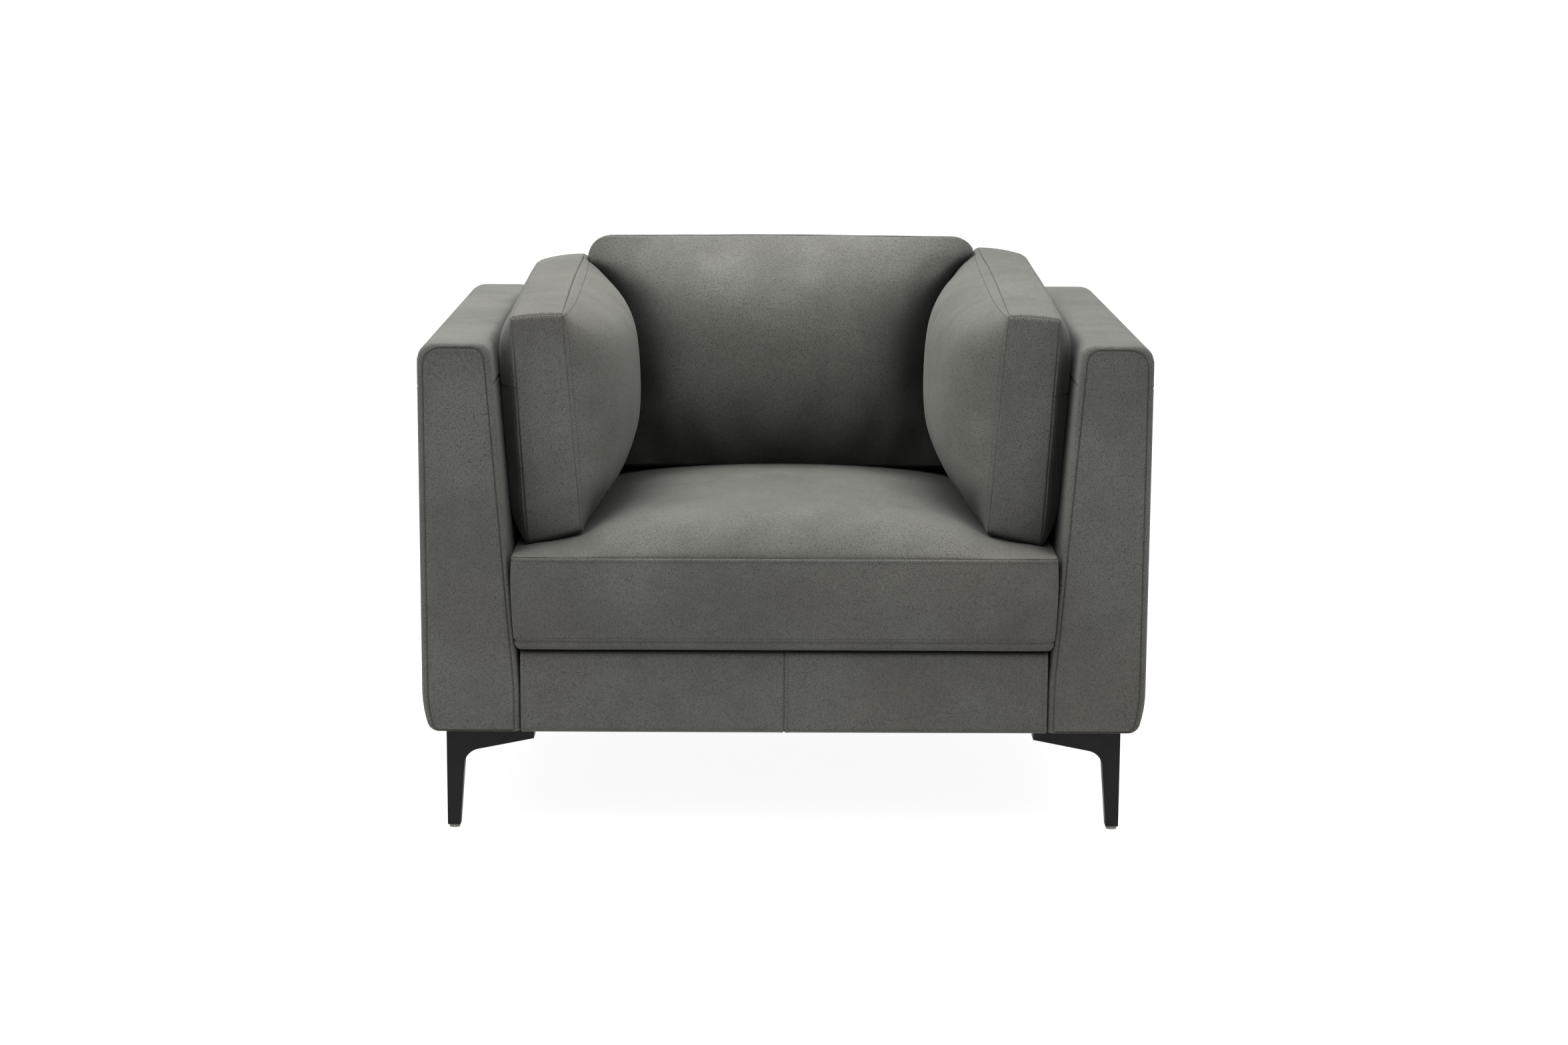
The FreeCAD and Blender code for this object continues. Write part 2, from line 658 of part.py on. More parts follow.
def back_block(label, inset, front, rear, bottom):
    """The back between the arms: its sides follow the lean of the arms."""
    side_gap = "(2 * slip + %s)" % inset
    lean = "arm_lean * (arm_top - %s - arm_lean_start)" % inset
    corners = []
    for sign in ("-", ""):
        heights = [bottom, "arm_top - %s" % inset] if sign == "" else ["arm_top - %s" % inset,
                                                                      bottom]
        for height in heights:
            out = lean if height != bottom else "arm_lean * (%s - arm_lean_start)" % bottom
            corners.append(("%s(arm_foot - %s + %s)" % (sign, side_gap, out), height))
    block = prism(label, "XZ_Plane", corners, "(%s) - (%s)" % (rear, front))
    depth = number("(%s) - (%s)" % (rear, front))
    top = number("arm_top - %s" % inset)

    def top_front(edge):
        at = edge.CenterOfMass
        return runs_along(edge, V(1, 0, 0)) and at.z > top - 1 and at.y < -depth / 2

    round_edges(block, label + "_edge", "back_radius - %s" % inset, top_front)
    return place(block, y=rear)


def back():
    skin = "(leather + slip)"
    bottom = "(rail_top + back_rise)"
    rear = "rear_face - leather - slip"
    cover = cut("inside_back_cover",
                back_block("back_outside", "0", "back_front", rear, bottom),
                back_block("back_under_leather", "leather", "back_front + leather",
                           "rear_face + overrun", "(rail_top - overrun)"))
    hollow = box("back_foam_hollow", ("-body_half_width", "body_half_width"),
                 ("post_front - strap_space", "rear_face + overrun"),
                 ("0", "arm_top - back_frame_drop + gap"))
    foam = cut("back_foam",
               back_block("back_foam_outside", skin, "back_front + %s" % skin,
                          rear + " - slip", bottom), hollow)
    foot = "(arm_foot - 2 * slip)"
    head = "(%s + arm_lean * (arm_top - gap - arm_lean_start))" % foot
    outside = prism("outside_back_cover", "XZ_Plane", [
        ("-" + foot, "body_bottom"),
        (foot, "body_bottom"),
        (foot, "arm_lean_start"),
        (head, "arm_top - gap"),
        ("-" + head, "arm_top - gap"),
        ("-" + foot, "arm_lean_start"),
    ], "leather")
    place(outside, y="rear_face")

    depth = ("post_front", "post_front + post_depth")
    inner = "seat_rail_outer - post_width"
    top = "(arm_top - back_frame_drop)"
    post = box("right_back_post", (inner, "seat_rail_outer"), depth,
               ("body_bottom + gap + slip", top))
    rail_width = ("-(%s) + slip" % inner, "%s - slip" % inner)
    top_rail = box("back_top_rail", rail_width, depth, ("%s - post_width" % top, top))
    low_rail = box("back_low_rail", rail_width, depth, (bottom, "%s + post_width" % bottom))
    return [cover, foam, outside, post, top_rail, low_rail]


def back_webbing():
    """Elastic straps stapled over the front of the back frame, three each way."""
    straps = []
    for index in range(-1, 2):
        x = "%d * strap_spacing_x" % index
        straps.append(box("strap_up_%d" % (index + 1),
                          ("%s - strap_width / 2" % x, "%s + strap_width / 2" % x),
                          ("post_front - strap", "post_front"),
                          ("rail_top + back_rise + 2 * gap",
                           "arm_top - back_frame_drop - 3 * gap")))
        z = "strap_middle_z + %d * strap_spacing_z" % index
        straps.append(box("strap_across_%d" % (index + 1),
                          ("-seat_rail_outer + 2 * gap", "seat_rail_outer - 2 * gap"),
                          ("post_front - 2 * strap - slip", "post_front - strap - slip"),
                          ("%s - strap_width / 2" % z, "%s + strap_width / 2" % z)))
    return group("back_webbing", straps)


# ---- Loose cushions --------------------------------------------------------------------------
# Each one is a leather cover round a foam core, with a zip in a channel of its boxing.

TOLERANCE = 0.01
SHARP = 2
FULL = [0, 1, 1, 1, 0]
FORWARD = [0, 1.6, 1.5, -0.55, 0]
NOSE = [0, 1.18, 1.08, 0.61, 0]


def crowned_face(corners, crown, direction, rise_along, rise_up):
    """A four-sided panel over straight edges that swells by up to crown in its middle."""
    surface = Part.BezierSurface()
    surface.increase(4, 4)
    peak = 0.875 * 0.875
    for i in range(5):
        for j in range(5):
            u = i / 4
            v = j / 4
            low = corners[0] * (1 - u) + corners[1] * u
            high = corners[3] * (1 - u) + corners[2] * u
            swell = crown / peak * rise_along[i] * rise_up[j]
            surface.setPole(i + 1, j + 1, low * (1 - v) + high * v + direction * swell)
    return surface.toShape()


def pad_solid(low, high, low_crown, high_crown, direction, rise_along, rise_up):
    """A solid between two four-sided panels, each with its own crown."""
    faces = [
        crowned_face(low, low_crown, direction * -1, rise_along, rise_up),
        crowned_face(high, high_crown, direction, rise_along, rise_up),
    ]
    for index in range(4):
        after = (index + 1) % 4
        faces.append(Part.makeRuledSurface(Part.makeLine(low[index], low[after]),
                                           Part.makeLine(high[index], high[after])))
    shell = Part.makeShell(faces)
    shell.sewShape()
    solid = Part.makeSolid(shell)
    if solid.Volume < 0:
        solid.reverse()
    return solid


def seat_block(inset):
    """Seat cushion: straight boxing that narrows downwards, and a crowned top panel."""
    half = number("seat_half_width") - inset
    narrow = half - number("seat_taper")
    front = number("seat_front") + inset
    rear = number("seat_rear") - inset
    bottom = number("seat_bottom") + inset
    top = number("seat_top") - inset
    foot = front + number("seat_foot_setback")
    low = [V(-narrow, foot, bottom), V(narrow, foot, bottom), V(narrow, rear, bottom),
           V(-narrow, rear, bottom)]
    high = [V(-half, front, top), V(half, front, top), V(half, rear, top), V(-half, rear, top)]
    block = pad_solid(low, high, 0, 0, V(0, 0, 1), FULL, FULL)
    wide = number("crown_half_width") - inset
    base = [V(-wide, front, top), V(wide, front, top), V(wide, rear, top), V(-wide, rear, top)]
    sunk = [point - V(0, 0, number("crown_sink")) for point in base]
    rise = number("seat_crown") - inset / 2
    crown = pad_solid(sunk, base, 0, rise, V(0, 0, 1), FULL, NOSE)
    return block.fuse(crown).removeSplitter()


def back_cushion_block(inset):
    """Back cushion in its own frame: X across, Y to the rear, Z up, origin at the front foot."""
    half = number("back_half_width") - inset
    deep = number("back_thickness") - inset
    tall = number("back_height") - inset
    front = [V(-half, inset, inset), V(half, inset, inset), V(half, inset, tall),
             V(-half, inset, tall)]
    rear = [V(-half, deep, inset), V(half, deep, inset), V(half, deep, tall),
            V(-half, deep, tall)]
    solid = pad_solid(front, rear, number("back_crown_front"), number("back_crown_rear"),
                      V(0, 1, 0), FULL, FULL)
    corner = number("back_corner") - inset
    margin = number("back_thickness")
    height = tall + 2 * margin
    plan = Part.makeBox(2 * half, 2 * margin, height, V(-half, inset, -margin))
    edges = [edge for edge in plan.Edges if runs_along(edge, ALONG_Z)
             and edge.CenterOfMass.y < inset + 1]
    rounded = plan.makeFillet(corner, edges)
    nose = Part.makeBox(2 * (half - corner), 2 * margin, height,
                        V(-(half - corner), -margin, -margin))
    return solid.common(rounded.fuse(nose).removeSplitter())


def arm_cushion_block(inset):
    """Right arm cushion in its own frame: X outwards, Y to the rear, Z up, from its front foot."""
    thick = number("armrest_thickness")
    long = number("armrest_length") - inset
    rise = number("armrest_floor_rise")
    inner = -thick + inset
    front_top = number("armrest_height_front") - inset
    rear_top = number("armrest_height_rear") - inset
    seatward = [V(inner, inset, rise + inset), V(inner, long, rise + inset),
                V(inner, long, rear_top), V(inner, inset, front_top)]
    armward = [V(-inset, inset, inset), V(-inset, long, inset), V(-inset, long, rear_top),
               V(-inset, inset, front_top)]
    return pad_solid(seatward, armward, number("armrest_crown_in"),
                     number("armrest_crown_out"), V(1, 0, 0), FORWARD, FULL)


def zip_parts(name, length):
    """Channel, chain and slider along X, with the boxing's surface at Z = 0 facing +Z."""
    half = "%s / 2" % length
    floor = "-zip_recess"
    channel = box(name + "_channel", ("-%s - zip_margin" % half, "%s + zip_margin" % half),
                  ("-zip_recess_width / 2", "zip_recess_width / 2"), (floor, "6 * overrun"))
    levels = [floor + " + slip", floor + " + slip + zip_tape"]
    levels.append(levels[1] + " + zip_neck")
    levels.append(levels[2] + " + zip_coil")
    widths = ["zip_tape_width", "zip_neck_width", "zip_coil_width"]
    layers = []
    for index, width in enumerate(widths):
        layers.append(box("%s_layer_%d" % (name, index), ("-%s" % half, half),
                          ("-%s / 2" % width, "%s / 2" % width),
                          (levels[index], levels[index + 1])))
    chain = fuse(name + "_chain", layers)

    start = "-%s + slider_start" % half
    finish = "%s + slider_length" % start
    shell = box(name + "_slider_shell", (start, finish), ("-slider_width / 2", "slider_width / 2"),
                (levels[1] + " + running", levels[3] + " + running + slider_lid"))
    past_ends = ("%s - gap" % start, "%s + gap" % finish)
    neck = box(name + "_slider_neck", past_ends,
               ("-zip_neck_width / 2 - running", "zip_neck_width / 2 + running"),
               (levels[0], levels[3]))
    coil = box(name + "_slider_coil", past_ends,
               ("-zip_coil_width / 2 - running", "zip_coil_width / 2 + running"),
               (levels[2] + " - running", levels[3] + " + running"))
    slider = cut(name + "_slider_body", shell, fuse(name + "_slider_slots", [neck, coil]))
    doc.recompute()
    return channel.Shape, chain.Shape, slider.Shape


def cushion(name, solid, zip_length, zip_at, placement):
    """Cover, core, zip and slider of one cushion as four features with one placement."""
    leather = number("cushion_leather")
    under = leather + number("core_slack")
    channel, chain, slider = zip_parts(name + "_zip", zip_length)
    where = zip_at.toMatrix()
    channel = channel.transformed(where, True)
    lining = channel.makeOffsetShape(leather, TOLERANCE, join=SHARP)
    around_lining = channel.makeOffsetShape(under, TOLERANCE, join=SHARP)
    cover = solid(0).cut(channel).cut(solid(leather).cut(lining))
    core = solid(under).cut(around_lining)
    made = []
    shapes = [("_cover", cover), ("_core", core), ("_zip", chain.transformed(where, True)),
              ("_zip_slider", slider.transformed(where, True))]
    for ending, shape in shapes:
        feature = doc.addObject("Part::Feature", name + ending)
        feature.Shape = shape
        feature.Placement = placement
        made.append(feature)
    return made


def turned(axis, angle, base=V(0, 0, 0)):
    return FreeCAD.Placement(base, FreeCAD.Rotation(axis, angle))


def seat_cushion():
    middle = (number("seat_bottom") + number("seat_top")) / 2
    zip_at = turned(V(1, 0, 0), -90, V(0, number("seat_rear"), middle))
    return cushion("seat_cushion", seat_block, "seat_zip", zip_at, FreeCAD.Placement())


def back_cushion():
    zip_at = turned(V(1, 0, 0), 180, V(0, number("back_thickness") / 2, 0))
    foot = V(0, number("back_foot_y"), number("back_foot_z"))
    return cushion("back_cushion", back_cushion_block, "back_zip", zip_at,
                   turned(V(1, 0, 0), -number("back_lean"), foot))


def arm_cushion():
    thick = number("armrest_thickness")
    rise = number("armrest_floor_rise")
    down = V(-rise, 0, -thick).normalize()
    rotation = FreeCAD.Rotation(ALONG_Y, down.cross(ALONG_Y), down, "ZXY")
    zip_at = FreeCAD.Placement(V(-thick / 2, number("armrest_length") / 2, rise / 2), rotation)
    foot = V(number("armrest_foot_x"), number("armrest_front"), number("armrest_foot_z"))
    return cushion("right_arm_cushion", arm_cushion_block, "armrest_zip", zip_at,
                   turned(V(0, 1, 0), number("armrest_lean"), foot))


# ---- Assembly --------------------------------------------------------------------------------

nodes = []


def keep(thing, label=None):
    """Add a finished sub-part to the assembly under its node name."""
    thing.Label = label or thing.Label
    nodes.append(thing)


def keep_both_sides(thing):
    """Keep a right hand piece and its mirror image on the left."""
    keep(thing)
    keep(mirror(thing.Label.replace("right_", "left_", 1), thing, V(1, 0, 0)))


for piece in [arm_cover(), arm_foam()] + arm_frame():
    keep_both_sides(piece)

front_rail, rear_rail, side_rail = seat_frame()
keep(front_rail)
keep(rear_rail)
keep_both_sides(side_rail)

corner_names = ["front_left", "front_right", "rear_left", "rear_right"]
for name, leg in zip(corner_names, four_corners("leg", front_left_leg())):
    keep(leg, name + "_leg")
keep(group("leg_glides", four_corners("glide", front_left_glide())))
keep(group("leg_screws", four_corners("screws", front_left_screws())))
keep(group("leg_blocks", four_corners("block", front_left_block())))

for kind, right_side in zip(("arm_bolts", "arm_tee_nuts"), arm_bolts()):
    left_side = mirror(kind + "_left", right_side, V(1, 0, 0))
    keep(group(kind, [right_side, left_side]))

for piece in [seat_springs(), spring_clips()] + deck() + rail_upholstery() + [dust_cover()]:
    keep(piece)

inside, foam, outside, post, top_rail, low_rail = back()
for piece in (inside, foam, outside, top_rail, low_rail, back_webbing()):
    keep(piece)
keep_both_sides(post)

for piece in seat_cushion() + back_cushion():
    keep(piece)
for piece in arm_cushion():
    keep_both_sides(piece)

doc.recompute()
for thing in doc.Objects:
    if "Invalid" in thing.State or "Error" in thing.State:
        raise RuntimeError("%s failed to compute" % thing.Label)
for node in nodes:
    if node.Shape.isNull() or not node.Shape.isValid() or not node.Shape.Solids:
        raise RuntimeError("%s has no valid solid" % node.Label)
for node in nodes:
    node.Shape.exportStep("parts/%s.step" % node.Label)

everything = Part.makeCompound([node.Shape for node in nodes])
limits = everything.BoundBox
print("%d nodes, %.1f x %.1f x %.1f mm" % (len(nodes), limits.XLength, limits.YLength,
                                          limits.ZLength))
print("x %.2f to %.2f, y %.2f to %.2f, z %.2f to %.2f" % (
    limits.XMin, limits.XMax, limits.YMin, limits.YMax, limits.ZMin, limits.ZMax))
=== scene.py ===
import json
import math
from dataclasses import dataclass

import bpy
import numpy as np
from mathutils import Matrix, Vector
from mathutils.bvhtree import BVHTree


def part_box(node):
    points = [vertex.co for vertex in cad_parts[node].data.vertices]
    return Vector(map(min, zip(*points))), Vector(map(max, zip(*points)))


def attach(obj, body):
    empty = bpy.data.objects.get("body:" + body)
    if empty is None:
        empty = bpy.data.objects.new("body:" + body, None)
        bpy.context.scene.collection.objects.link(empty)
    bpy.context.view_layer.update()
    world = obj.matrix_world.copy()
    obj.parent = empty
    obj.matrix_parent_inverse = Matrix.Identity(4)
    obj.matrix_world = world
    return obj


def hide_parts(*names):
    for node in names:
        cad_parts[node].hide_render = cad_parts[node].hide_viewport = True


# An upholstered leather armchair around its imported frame. Metres, +Z up, the front faces -Y.

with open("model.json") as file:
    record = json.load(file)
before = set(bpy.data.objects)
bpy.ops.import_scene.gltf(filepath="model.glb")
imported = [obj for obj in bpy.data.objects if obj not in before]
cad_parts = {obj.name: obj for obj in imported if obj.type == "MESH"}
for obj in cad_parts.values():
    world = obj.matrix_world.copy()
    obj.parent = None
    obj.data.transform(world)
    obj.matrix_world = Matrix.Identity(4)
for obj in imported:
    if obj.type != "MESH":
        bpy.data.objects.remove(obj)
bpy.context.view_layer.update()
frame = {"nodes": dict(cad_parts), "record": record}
MM = 0.001

# ---- Places taken from the frame

ARM_LOW, ARM_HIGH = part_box("right_arm_cover")
RAIL_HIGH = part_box("front_rail_cover")[1]
BACK_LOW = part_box("inside_back_cover")[0]
SEAT_LOW, SEAT_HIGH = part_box("seat_cushion_cover")
SIDE_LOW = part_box("right_arm_cushion_cover")[0]

FRONT = ARM_LOW.y
REAR = ARM_HIGH.y
BOTTOM = ARM_LOW.z
ARM_TOP = ARM_HIGH.z
ARM_OUTER = ARM_HIGH.x
ARM_FOOT = ARM_LOW.x
LEAN_START = BOTTOM + 69 * MM
LEAN = 0.078

# Distances from a seam at which a panel gets a row of points, and how deep each row sinks.
SEAM_STEPS = [0.0, 0.9 * MM, 2.0 * MM, 3.4 * MM, 5.6 * MM, 9.0 * MM]
SEAM_SINK = [1.9 * MM, 0.9 * MM, 0.0, -0.45 * MM, -0.1 * MM, 0.0]
CUSHION_SINK = 0.7 * np.array(SEAM_SINK)
STITCH_ROW = 4
STITCH_PITCH = 4.6 * MM
STITCH_LENGTH = 3.3 * MM


# ---- Materials

class Nodes:
    """A short way to wire a node tree. A value is a constant or the output of a node."""

    def __init__(self, owner):
        owner.use_nodes = True
        self.owner = owner
        self.tree = owner.node_tree
        self.coordinates = self.add("ShaderNodeTexCoord").outputs["Object"]

    def feed(self, socket, value):
        if isinstance(value, bpy.types.NodeSocket):
            self.tree.links.new(value, socket)
        elif isinstance(value, tuple) and socket.type == "RGBA":
            socket.default_value = (*value, 1.0)
        else:
            socket.default_value = value

    def add(self, kind, inputs=(), **settings):
        node = self.tree.nodes.new(kind)
        for key, value in settings.items():
            setattr(node, key, value)
        for name, value in dict(inputs).items():
            self.feed(node.inputs[name], value)
        return node

    def noise(self, scale, detail=3.0, rough=0.55, source=None):
        return self.add("ShaderNodeTexNoise", {
            "Vector": source or self.coordinates, "Scale": scale, "Detail": detail,
            "Roughness": rough}).outputs["Fac"]

    def cells(self, scale, feature="F1", source=None):
        inputs = {"Vector": source or self.coordinates, "Scale": scale}
        return self.add("ShaderNodeTexVoronoi", inputs, feature=feature).outputs["Distance"]

    def warped(self, scale, amount):
        """Coordinates pushed about by noise, so that cells lose their regular outlines."""
        noise = self.add("ShaderNodeTexNoise", {"Vector": self.coordinates, "Scale": scale})
        offset = self.add("ShaderNodeVectorMath", {0: noise.outputs["Color"], "Scale": amount},
                          operation="SCALE")
        return self.add("ShaderNodeVectorMath", {0: self.coordinates, 1: offset.outputs[0]},
                        operation="ADD").outputs[0]

    def remap(self, value, low, high, to_low=0.0, to_high=1.0, kind="SMOOTHSTEP"):
        return self.add("ShaderNodeMapRange", {
            "Value": value, "From Min": low, "From Max": high, "To Min": to_low,
            "To Max": to_high}, interpolation_type=kind).outputs["Result"]

    def calculate(self, operation, first, second):
        return self.add("ShaderNodeMath", {0: first, 1: second}, operation=operation).outputs[0]

    def mix(self, factor, first, second):
        return self.add("ShaderNodeMix", {0: factor, 6: first, 7: second},
                        data_type="RGBA").outputs[2]

    def blend(self, pattern, low, high, first, second):
        """The first colour where a pattern is low, and the second where it is high."""
        return self.mix(self.remap(pattern, low, high), first, second)

    def bump(self, height, distance, strength=1.0, **inputs):
        return self.add("ShaderNodeBump", {"Height": height, "Distance": distance,
                                           "Strength": strength, **inputs}).outputs["Normal"]

    def finish(self, color, roughness, **inputs):
        """Feed the shader, whose other inputs are named with underscores for spaces."""
        shader = self.tree.nodes["Principled BSDF"]
        for name, value in {"Base Color": color, "Roughness": roughness, **inputs}.items():
            self.feed(shader.inputs[name.replace("_", " ")], value)
        return self.owner


def material_nodes(name):
    return Nodes(bpy.data.materials.new(name))


LEATHER_LIGHT = (0.198, 0.197, 0.172)
LEATHER_MID = (0.141, 0.140, 0.121)
LEATHER_BROWN = (0.150, 0.134, 0.112)
LEATHER_PORE = (0.052, 0.050, 0.042)
# Near-black colour of the painted shade in gaps, creases and recesses.
LEATHER_PAINTED_SHADE = (0.007, 0.007, 0.006)


def leather():
    """Nubuck: pebbled grain, dark pores, cloudy colour, a brushed nap, and painted shade in gaps.
    """
    n = material_nodes("nubuck_leather_with_painted_shade")
    cloud, drift, streak = n.noise(5.5, 4.0, 0.6), n.noise(2.3, 2.0, 0.5), n.noise(38.0, 3.0, 0.6)
    color = n.blend(cloud, 0.36, 0.66, LEATHER_MID, LEATHER_LIGHT)
    color = n.mix(n.remap(drift, 0.50, 0.70, 0.0, 0.6), color, LEATHER_BROWN)
    color = n.mix(n.remap(streak, 0.35, 0.7, 0.0, 0.25), color, LEATHER_LIGHT)

    creases = n.cells(620.0, "DISTANCE_TO_EDGE", n.warped(500.0, 1.0 * MM))
    patches = n.noise(420.0, 2.0, 0.5)
    pores = n.calculate("MULTIPLY", n.remap(creases, 0.04, 0.17, 1.0, 0.0),
                        n.remap(patches, 0.38, 0.58, 0.45, 1.0))
    color = n.mix(n.calculate("MULTIPLY", pores, 0.95), color, LEATHER_PORE)
    # Painted shade: ambient occlusion darkens the colour towards near black in gaps, creases and
    # recesses between parts.
    painted_shade_ao = n.add("ShaderNodeAmbientOcclusion", {"Distance": 0.17}, samples=6)
    color = n.blend(painted_shade_ao.outputs["AO"], 0.25, 0.70, LEATHER_PAINTED_SHADE, color)

    nap = n.bump(n.noise(1500.0, 2.0, 0.6), 0.12 * MM, 0.6)
    grain = n.bump(n.remap(creases, 0.02, 0.24), 0.22 * MM, 0.8, Normal=nap)
    soft = n.bump(n.noise(26.0, 3.0, 0.55), 1.6 * MM, 0.35, Normal=grain)
    return n.finish(color, n.remap(n.noise(14.0, 3.0, 0.6), 0.3, 0.7, 0.58, 0.74), Normal=soft,
                    Specular_IOR_Level=0.38, Sheen_Weight=0.22, Sheen_Roughness=0.45,
                    Sheen_Tint=(0.75, 0.75, 0.70))


def two_tone(name, pattern, dark, light, rough, relief, strength=1.0, span=(0.3, 0.7),
             relief_noise=None, rough_span=None, **constants):
    """A material that runs from dark to light over a span of one pattern.

    A pattern is what noise() takes, or a function of the Nodes. rough is a number, or one for
    each end of its span.
    """
    n = material_nodes(name)
    tone = pattern(n) if callable(pattern) else n.noise(*pattern)
    if isinstance(rough, tuple):
        rough = n.remap(tone, *(rough_span or span), *rough)
    height = n.noise(*relief_noise) if relief_noise else tone
    return n.finish(n.blend(tone, *span, dark, light), rough,
                    Normal=n.bump(height, relief, strength), **constants)


def grain_rings(n):
    stretch = n.add("ShaderNodeMapping", {"Scale": (90.0, 7.0, 90.0), "Vector": n.coordinates})
    return n.noise(1.0, 5.0, 0.62, stretch.outputs[0])


def weave(name, dark, light, pitch):
    """Plain woven cloth: two sets of threads crossing at a pitch in metres."""
    n = material_nodes(name)
    inputs = {"Scale": 0.3142 / pitch, "Distortion": 0.6, "Detail": 1.0, "Vector": n.coordinates}
    waves = [n.add("ShaderNodeTexWave", inputs, bands_direction=direction).outputs["Fac"]
             for direction in ("X", "Y")]
    threads = n.calculate("MULTIPLY", *waves)
    tone = n.calculate("MULTIPLY", threads, n.remap(n.noise(40.0), 0.3, 0.7, 0.7, 1.0))
    return n.finish(n.mix(tone, dark, light), 0.85, Normal=n.bump(threads, 0.25 * MM, 0.8),
                    Sheen_Weight=0.15)


def foam():
    n = material_nodes("foam")
    pits = n.cells(650.0, "F1", n.warped(300.0, 0.8 * MM))
    color = n.blend(pits, 0.1, 0.5, (0.78, 0.72, 0.55), (0.90, 0.86, 0.72))
    color = n.mix(n.remap(n.noise(9.0), 0.4, 0.7, 0.0, 0.4), color, (0.80, 0.70, 0.48))
    return n.finish(color, 0.9, Normal=n.bump(pits, 0.5 * MM, 0.8))


SLOT_MATERIALS = {
    "leather": leather(),
    "foam": foam(),
    "felt": weave("felt_pad", (0.42, 0.40, 0.37), (0.62, 0.60, 0.56), 2.2 * MM),
    "deck_cloth": weave("deck_cloth", (0.020, 0.020, 0.018), (0.075, 0.073, 0.066), 1.4 * MM),
    "dust_cloth": weave("dust_cloth", (0.008, 0.008, 0.008), (0.030, 0.030, 0.029), 1.1 * MM),
    "webbing": weave("webbing", (0.13, 0.10, 0.06), (0.36, 0.30, 0.21), 2.6 * MM),
    "wood": two_tone("beech_ply", grain_rings, (0.52, 0.36, 0.20), (0.74, 0.57, 0.37),
                     (0.6, 0.75), 0.3 * MM, 0.6),
    "hardboard": two_tone("hardboard", (240.0, 5.0, 0.7), (0.17, 0.10, 0.055),
                          (0.30, 0.19, 0.11), 0.6, 0.15 * MM, 0.6),
    "leg_metal": two_tone("black_powder_coat", (30.0, 3.0, 0.5), (0.0040, 0.0040, 0.0037),
                          (0.0066, 0.0066, 0.0060), (0.46, 0.58), 0.12 * MM, 0.7,
                          relief_noise=(620.0, 2.0, 0.5), Specular_IOR_Level=0.25),
    "glide_plastic": two_tone("glide_nylon", (260.0, 3.0, 0.6), (0.36, 0.35, 0.32),
                              (0.48, 0.47, 0.43), (0.42, 0.6), 0.1 * MM, Subsurface_Weight=0.1),
    "bright_steel": two_tone("zinc_plated_steel", lambda n: n.cells(300.0), (0.55, 0.55, 0.53),
                             (0.68, 0.68, 0.66), (0.28, 0.42), 0.05 * MM, span=(0.1, 0.6),
                             relief_noise=(500.0,), Metallic=1.0),
    "zip_tape": weave("zip_tape", (0.014, 0.014, 0.013), (0.055, 0.053, 0.047), 0.9 * MM),
    "zip_metal": two_tone("zip_metal", (900.0, 3.0, 0.6), (0.03, 0.03, 0.028),
                          (0.16, 0.155, 0.14), (0.3, 0.5), 0.05 * MM, span=(0.55, 0.75),
                          rough_span=(0.3, 0.7), Metallic=0.8),
}
THREAD = two_tone("thread", (2600.0, 2.0, 0.5), (0.030, 0.029, 0.025),
                  (0.075, 0.072, 0.062), 0.7, 0.1 * MM, Sheen_Weight=0.2)

# ---- Meshes from rows of points

def stops(length, step):
    """Fractions along a length: close rows beside the seam at each end, even rows between."""
    margin = SEAM_STEPS[-1]
    finish = length - margin
    count = max(2, round((finish - margin) / step))
    rows = [*SEAM_STEPS[:-1], *np.linspace(margin, finish, count + 1),
            *(length - row for row in SEAM_STEPS[-2::-1])]
    return np.array(rows) / length


def seamed_stops(length, seam, step):
    """The same, with a seam across the panel at a distance from its start."""
    if seam is None:
        return stops(length, step)
    before = stops(seam, step) * seam
    after = seam + stops(length - seam, step)[1:] * (length - seam)
    return np.concatenate([before, after]) / length


def sink_at(distance, depths=SEAM_SINK):
    """How far the surface sinks at a distance from a seam."""
    return np.interp(distance, SEAM_STEPS, depths, right=0.0)


def quads(index):
    """Faces over a two-way table of point numbers."""
    corners = (index[:-1, :-1], index[:-1, 1:], index[1:, 1:], index[1:, :-1])
    return np.stack([corner.ravel() for corner in corners], axis=1)


def travelled(line):
    """The distance along a line at each of its points."""
    gaps = np.linalg.norm(np.diff(line, axis=0), axis=1)
    return np.concatenate([[0], np.cumsum(gaps)])


def read_along(line, travel, places):
    """A line's values at some distances along it."""
    return np.stack([np.interp(places, travel, values) for values in line.T], axis=-1)


def unit(vectors):
    return vectors / np.maximum(np.linalg.norm(vectors, axis=-1, keepdims=True), 1e-12)


def add_object(name, data):
    added = bpy.data.objects.new(name, data)
    bpy.context.scene.collection.objects.link(added)
    return added


def make_piece(name, points, faces, body, slot="leather", material=None):
    mesh = bpy.data.meshes.new(name)
    mesh.from_pydata(np.asarray(points).tolist(), [], np.asarray(faces).tolist())
    mesh.validate()
    mesh.update()
    piece = add_object(name, mesh)
    mesh.materials.append(material or SLOT_MATERIALS[slot])
    mesh.polygons.foreach_set("use_smooth", [True] * len(mesh.polygons))
    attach(piece, body)
    return piece


def surface_normals(points, faces):
    """A unit normal at each point, from the faces round it."""
    face_normals = np.cross(points[faces[:, 2]] - points[faces[:, 0]],
                            points[faces[:, 3]] - points[faces[:, 1]])
    total = np.zeros_like(points)
    for corner in range(4):
        np.add.at(total, faces[:, corner], face_normals)
    return unit(total)


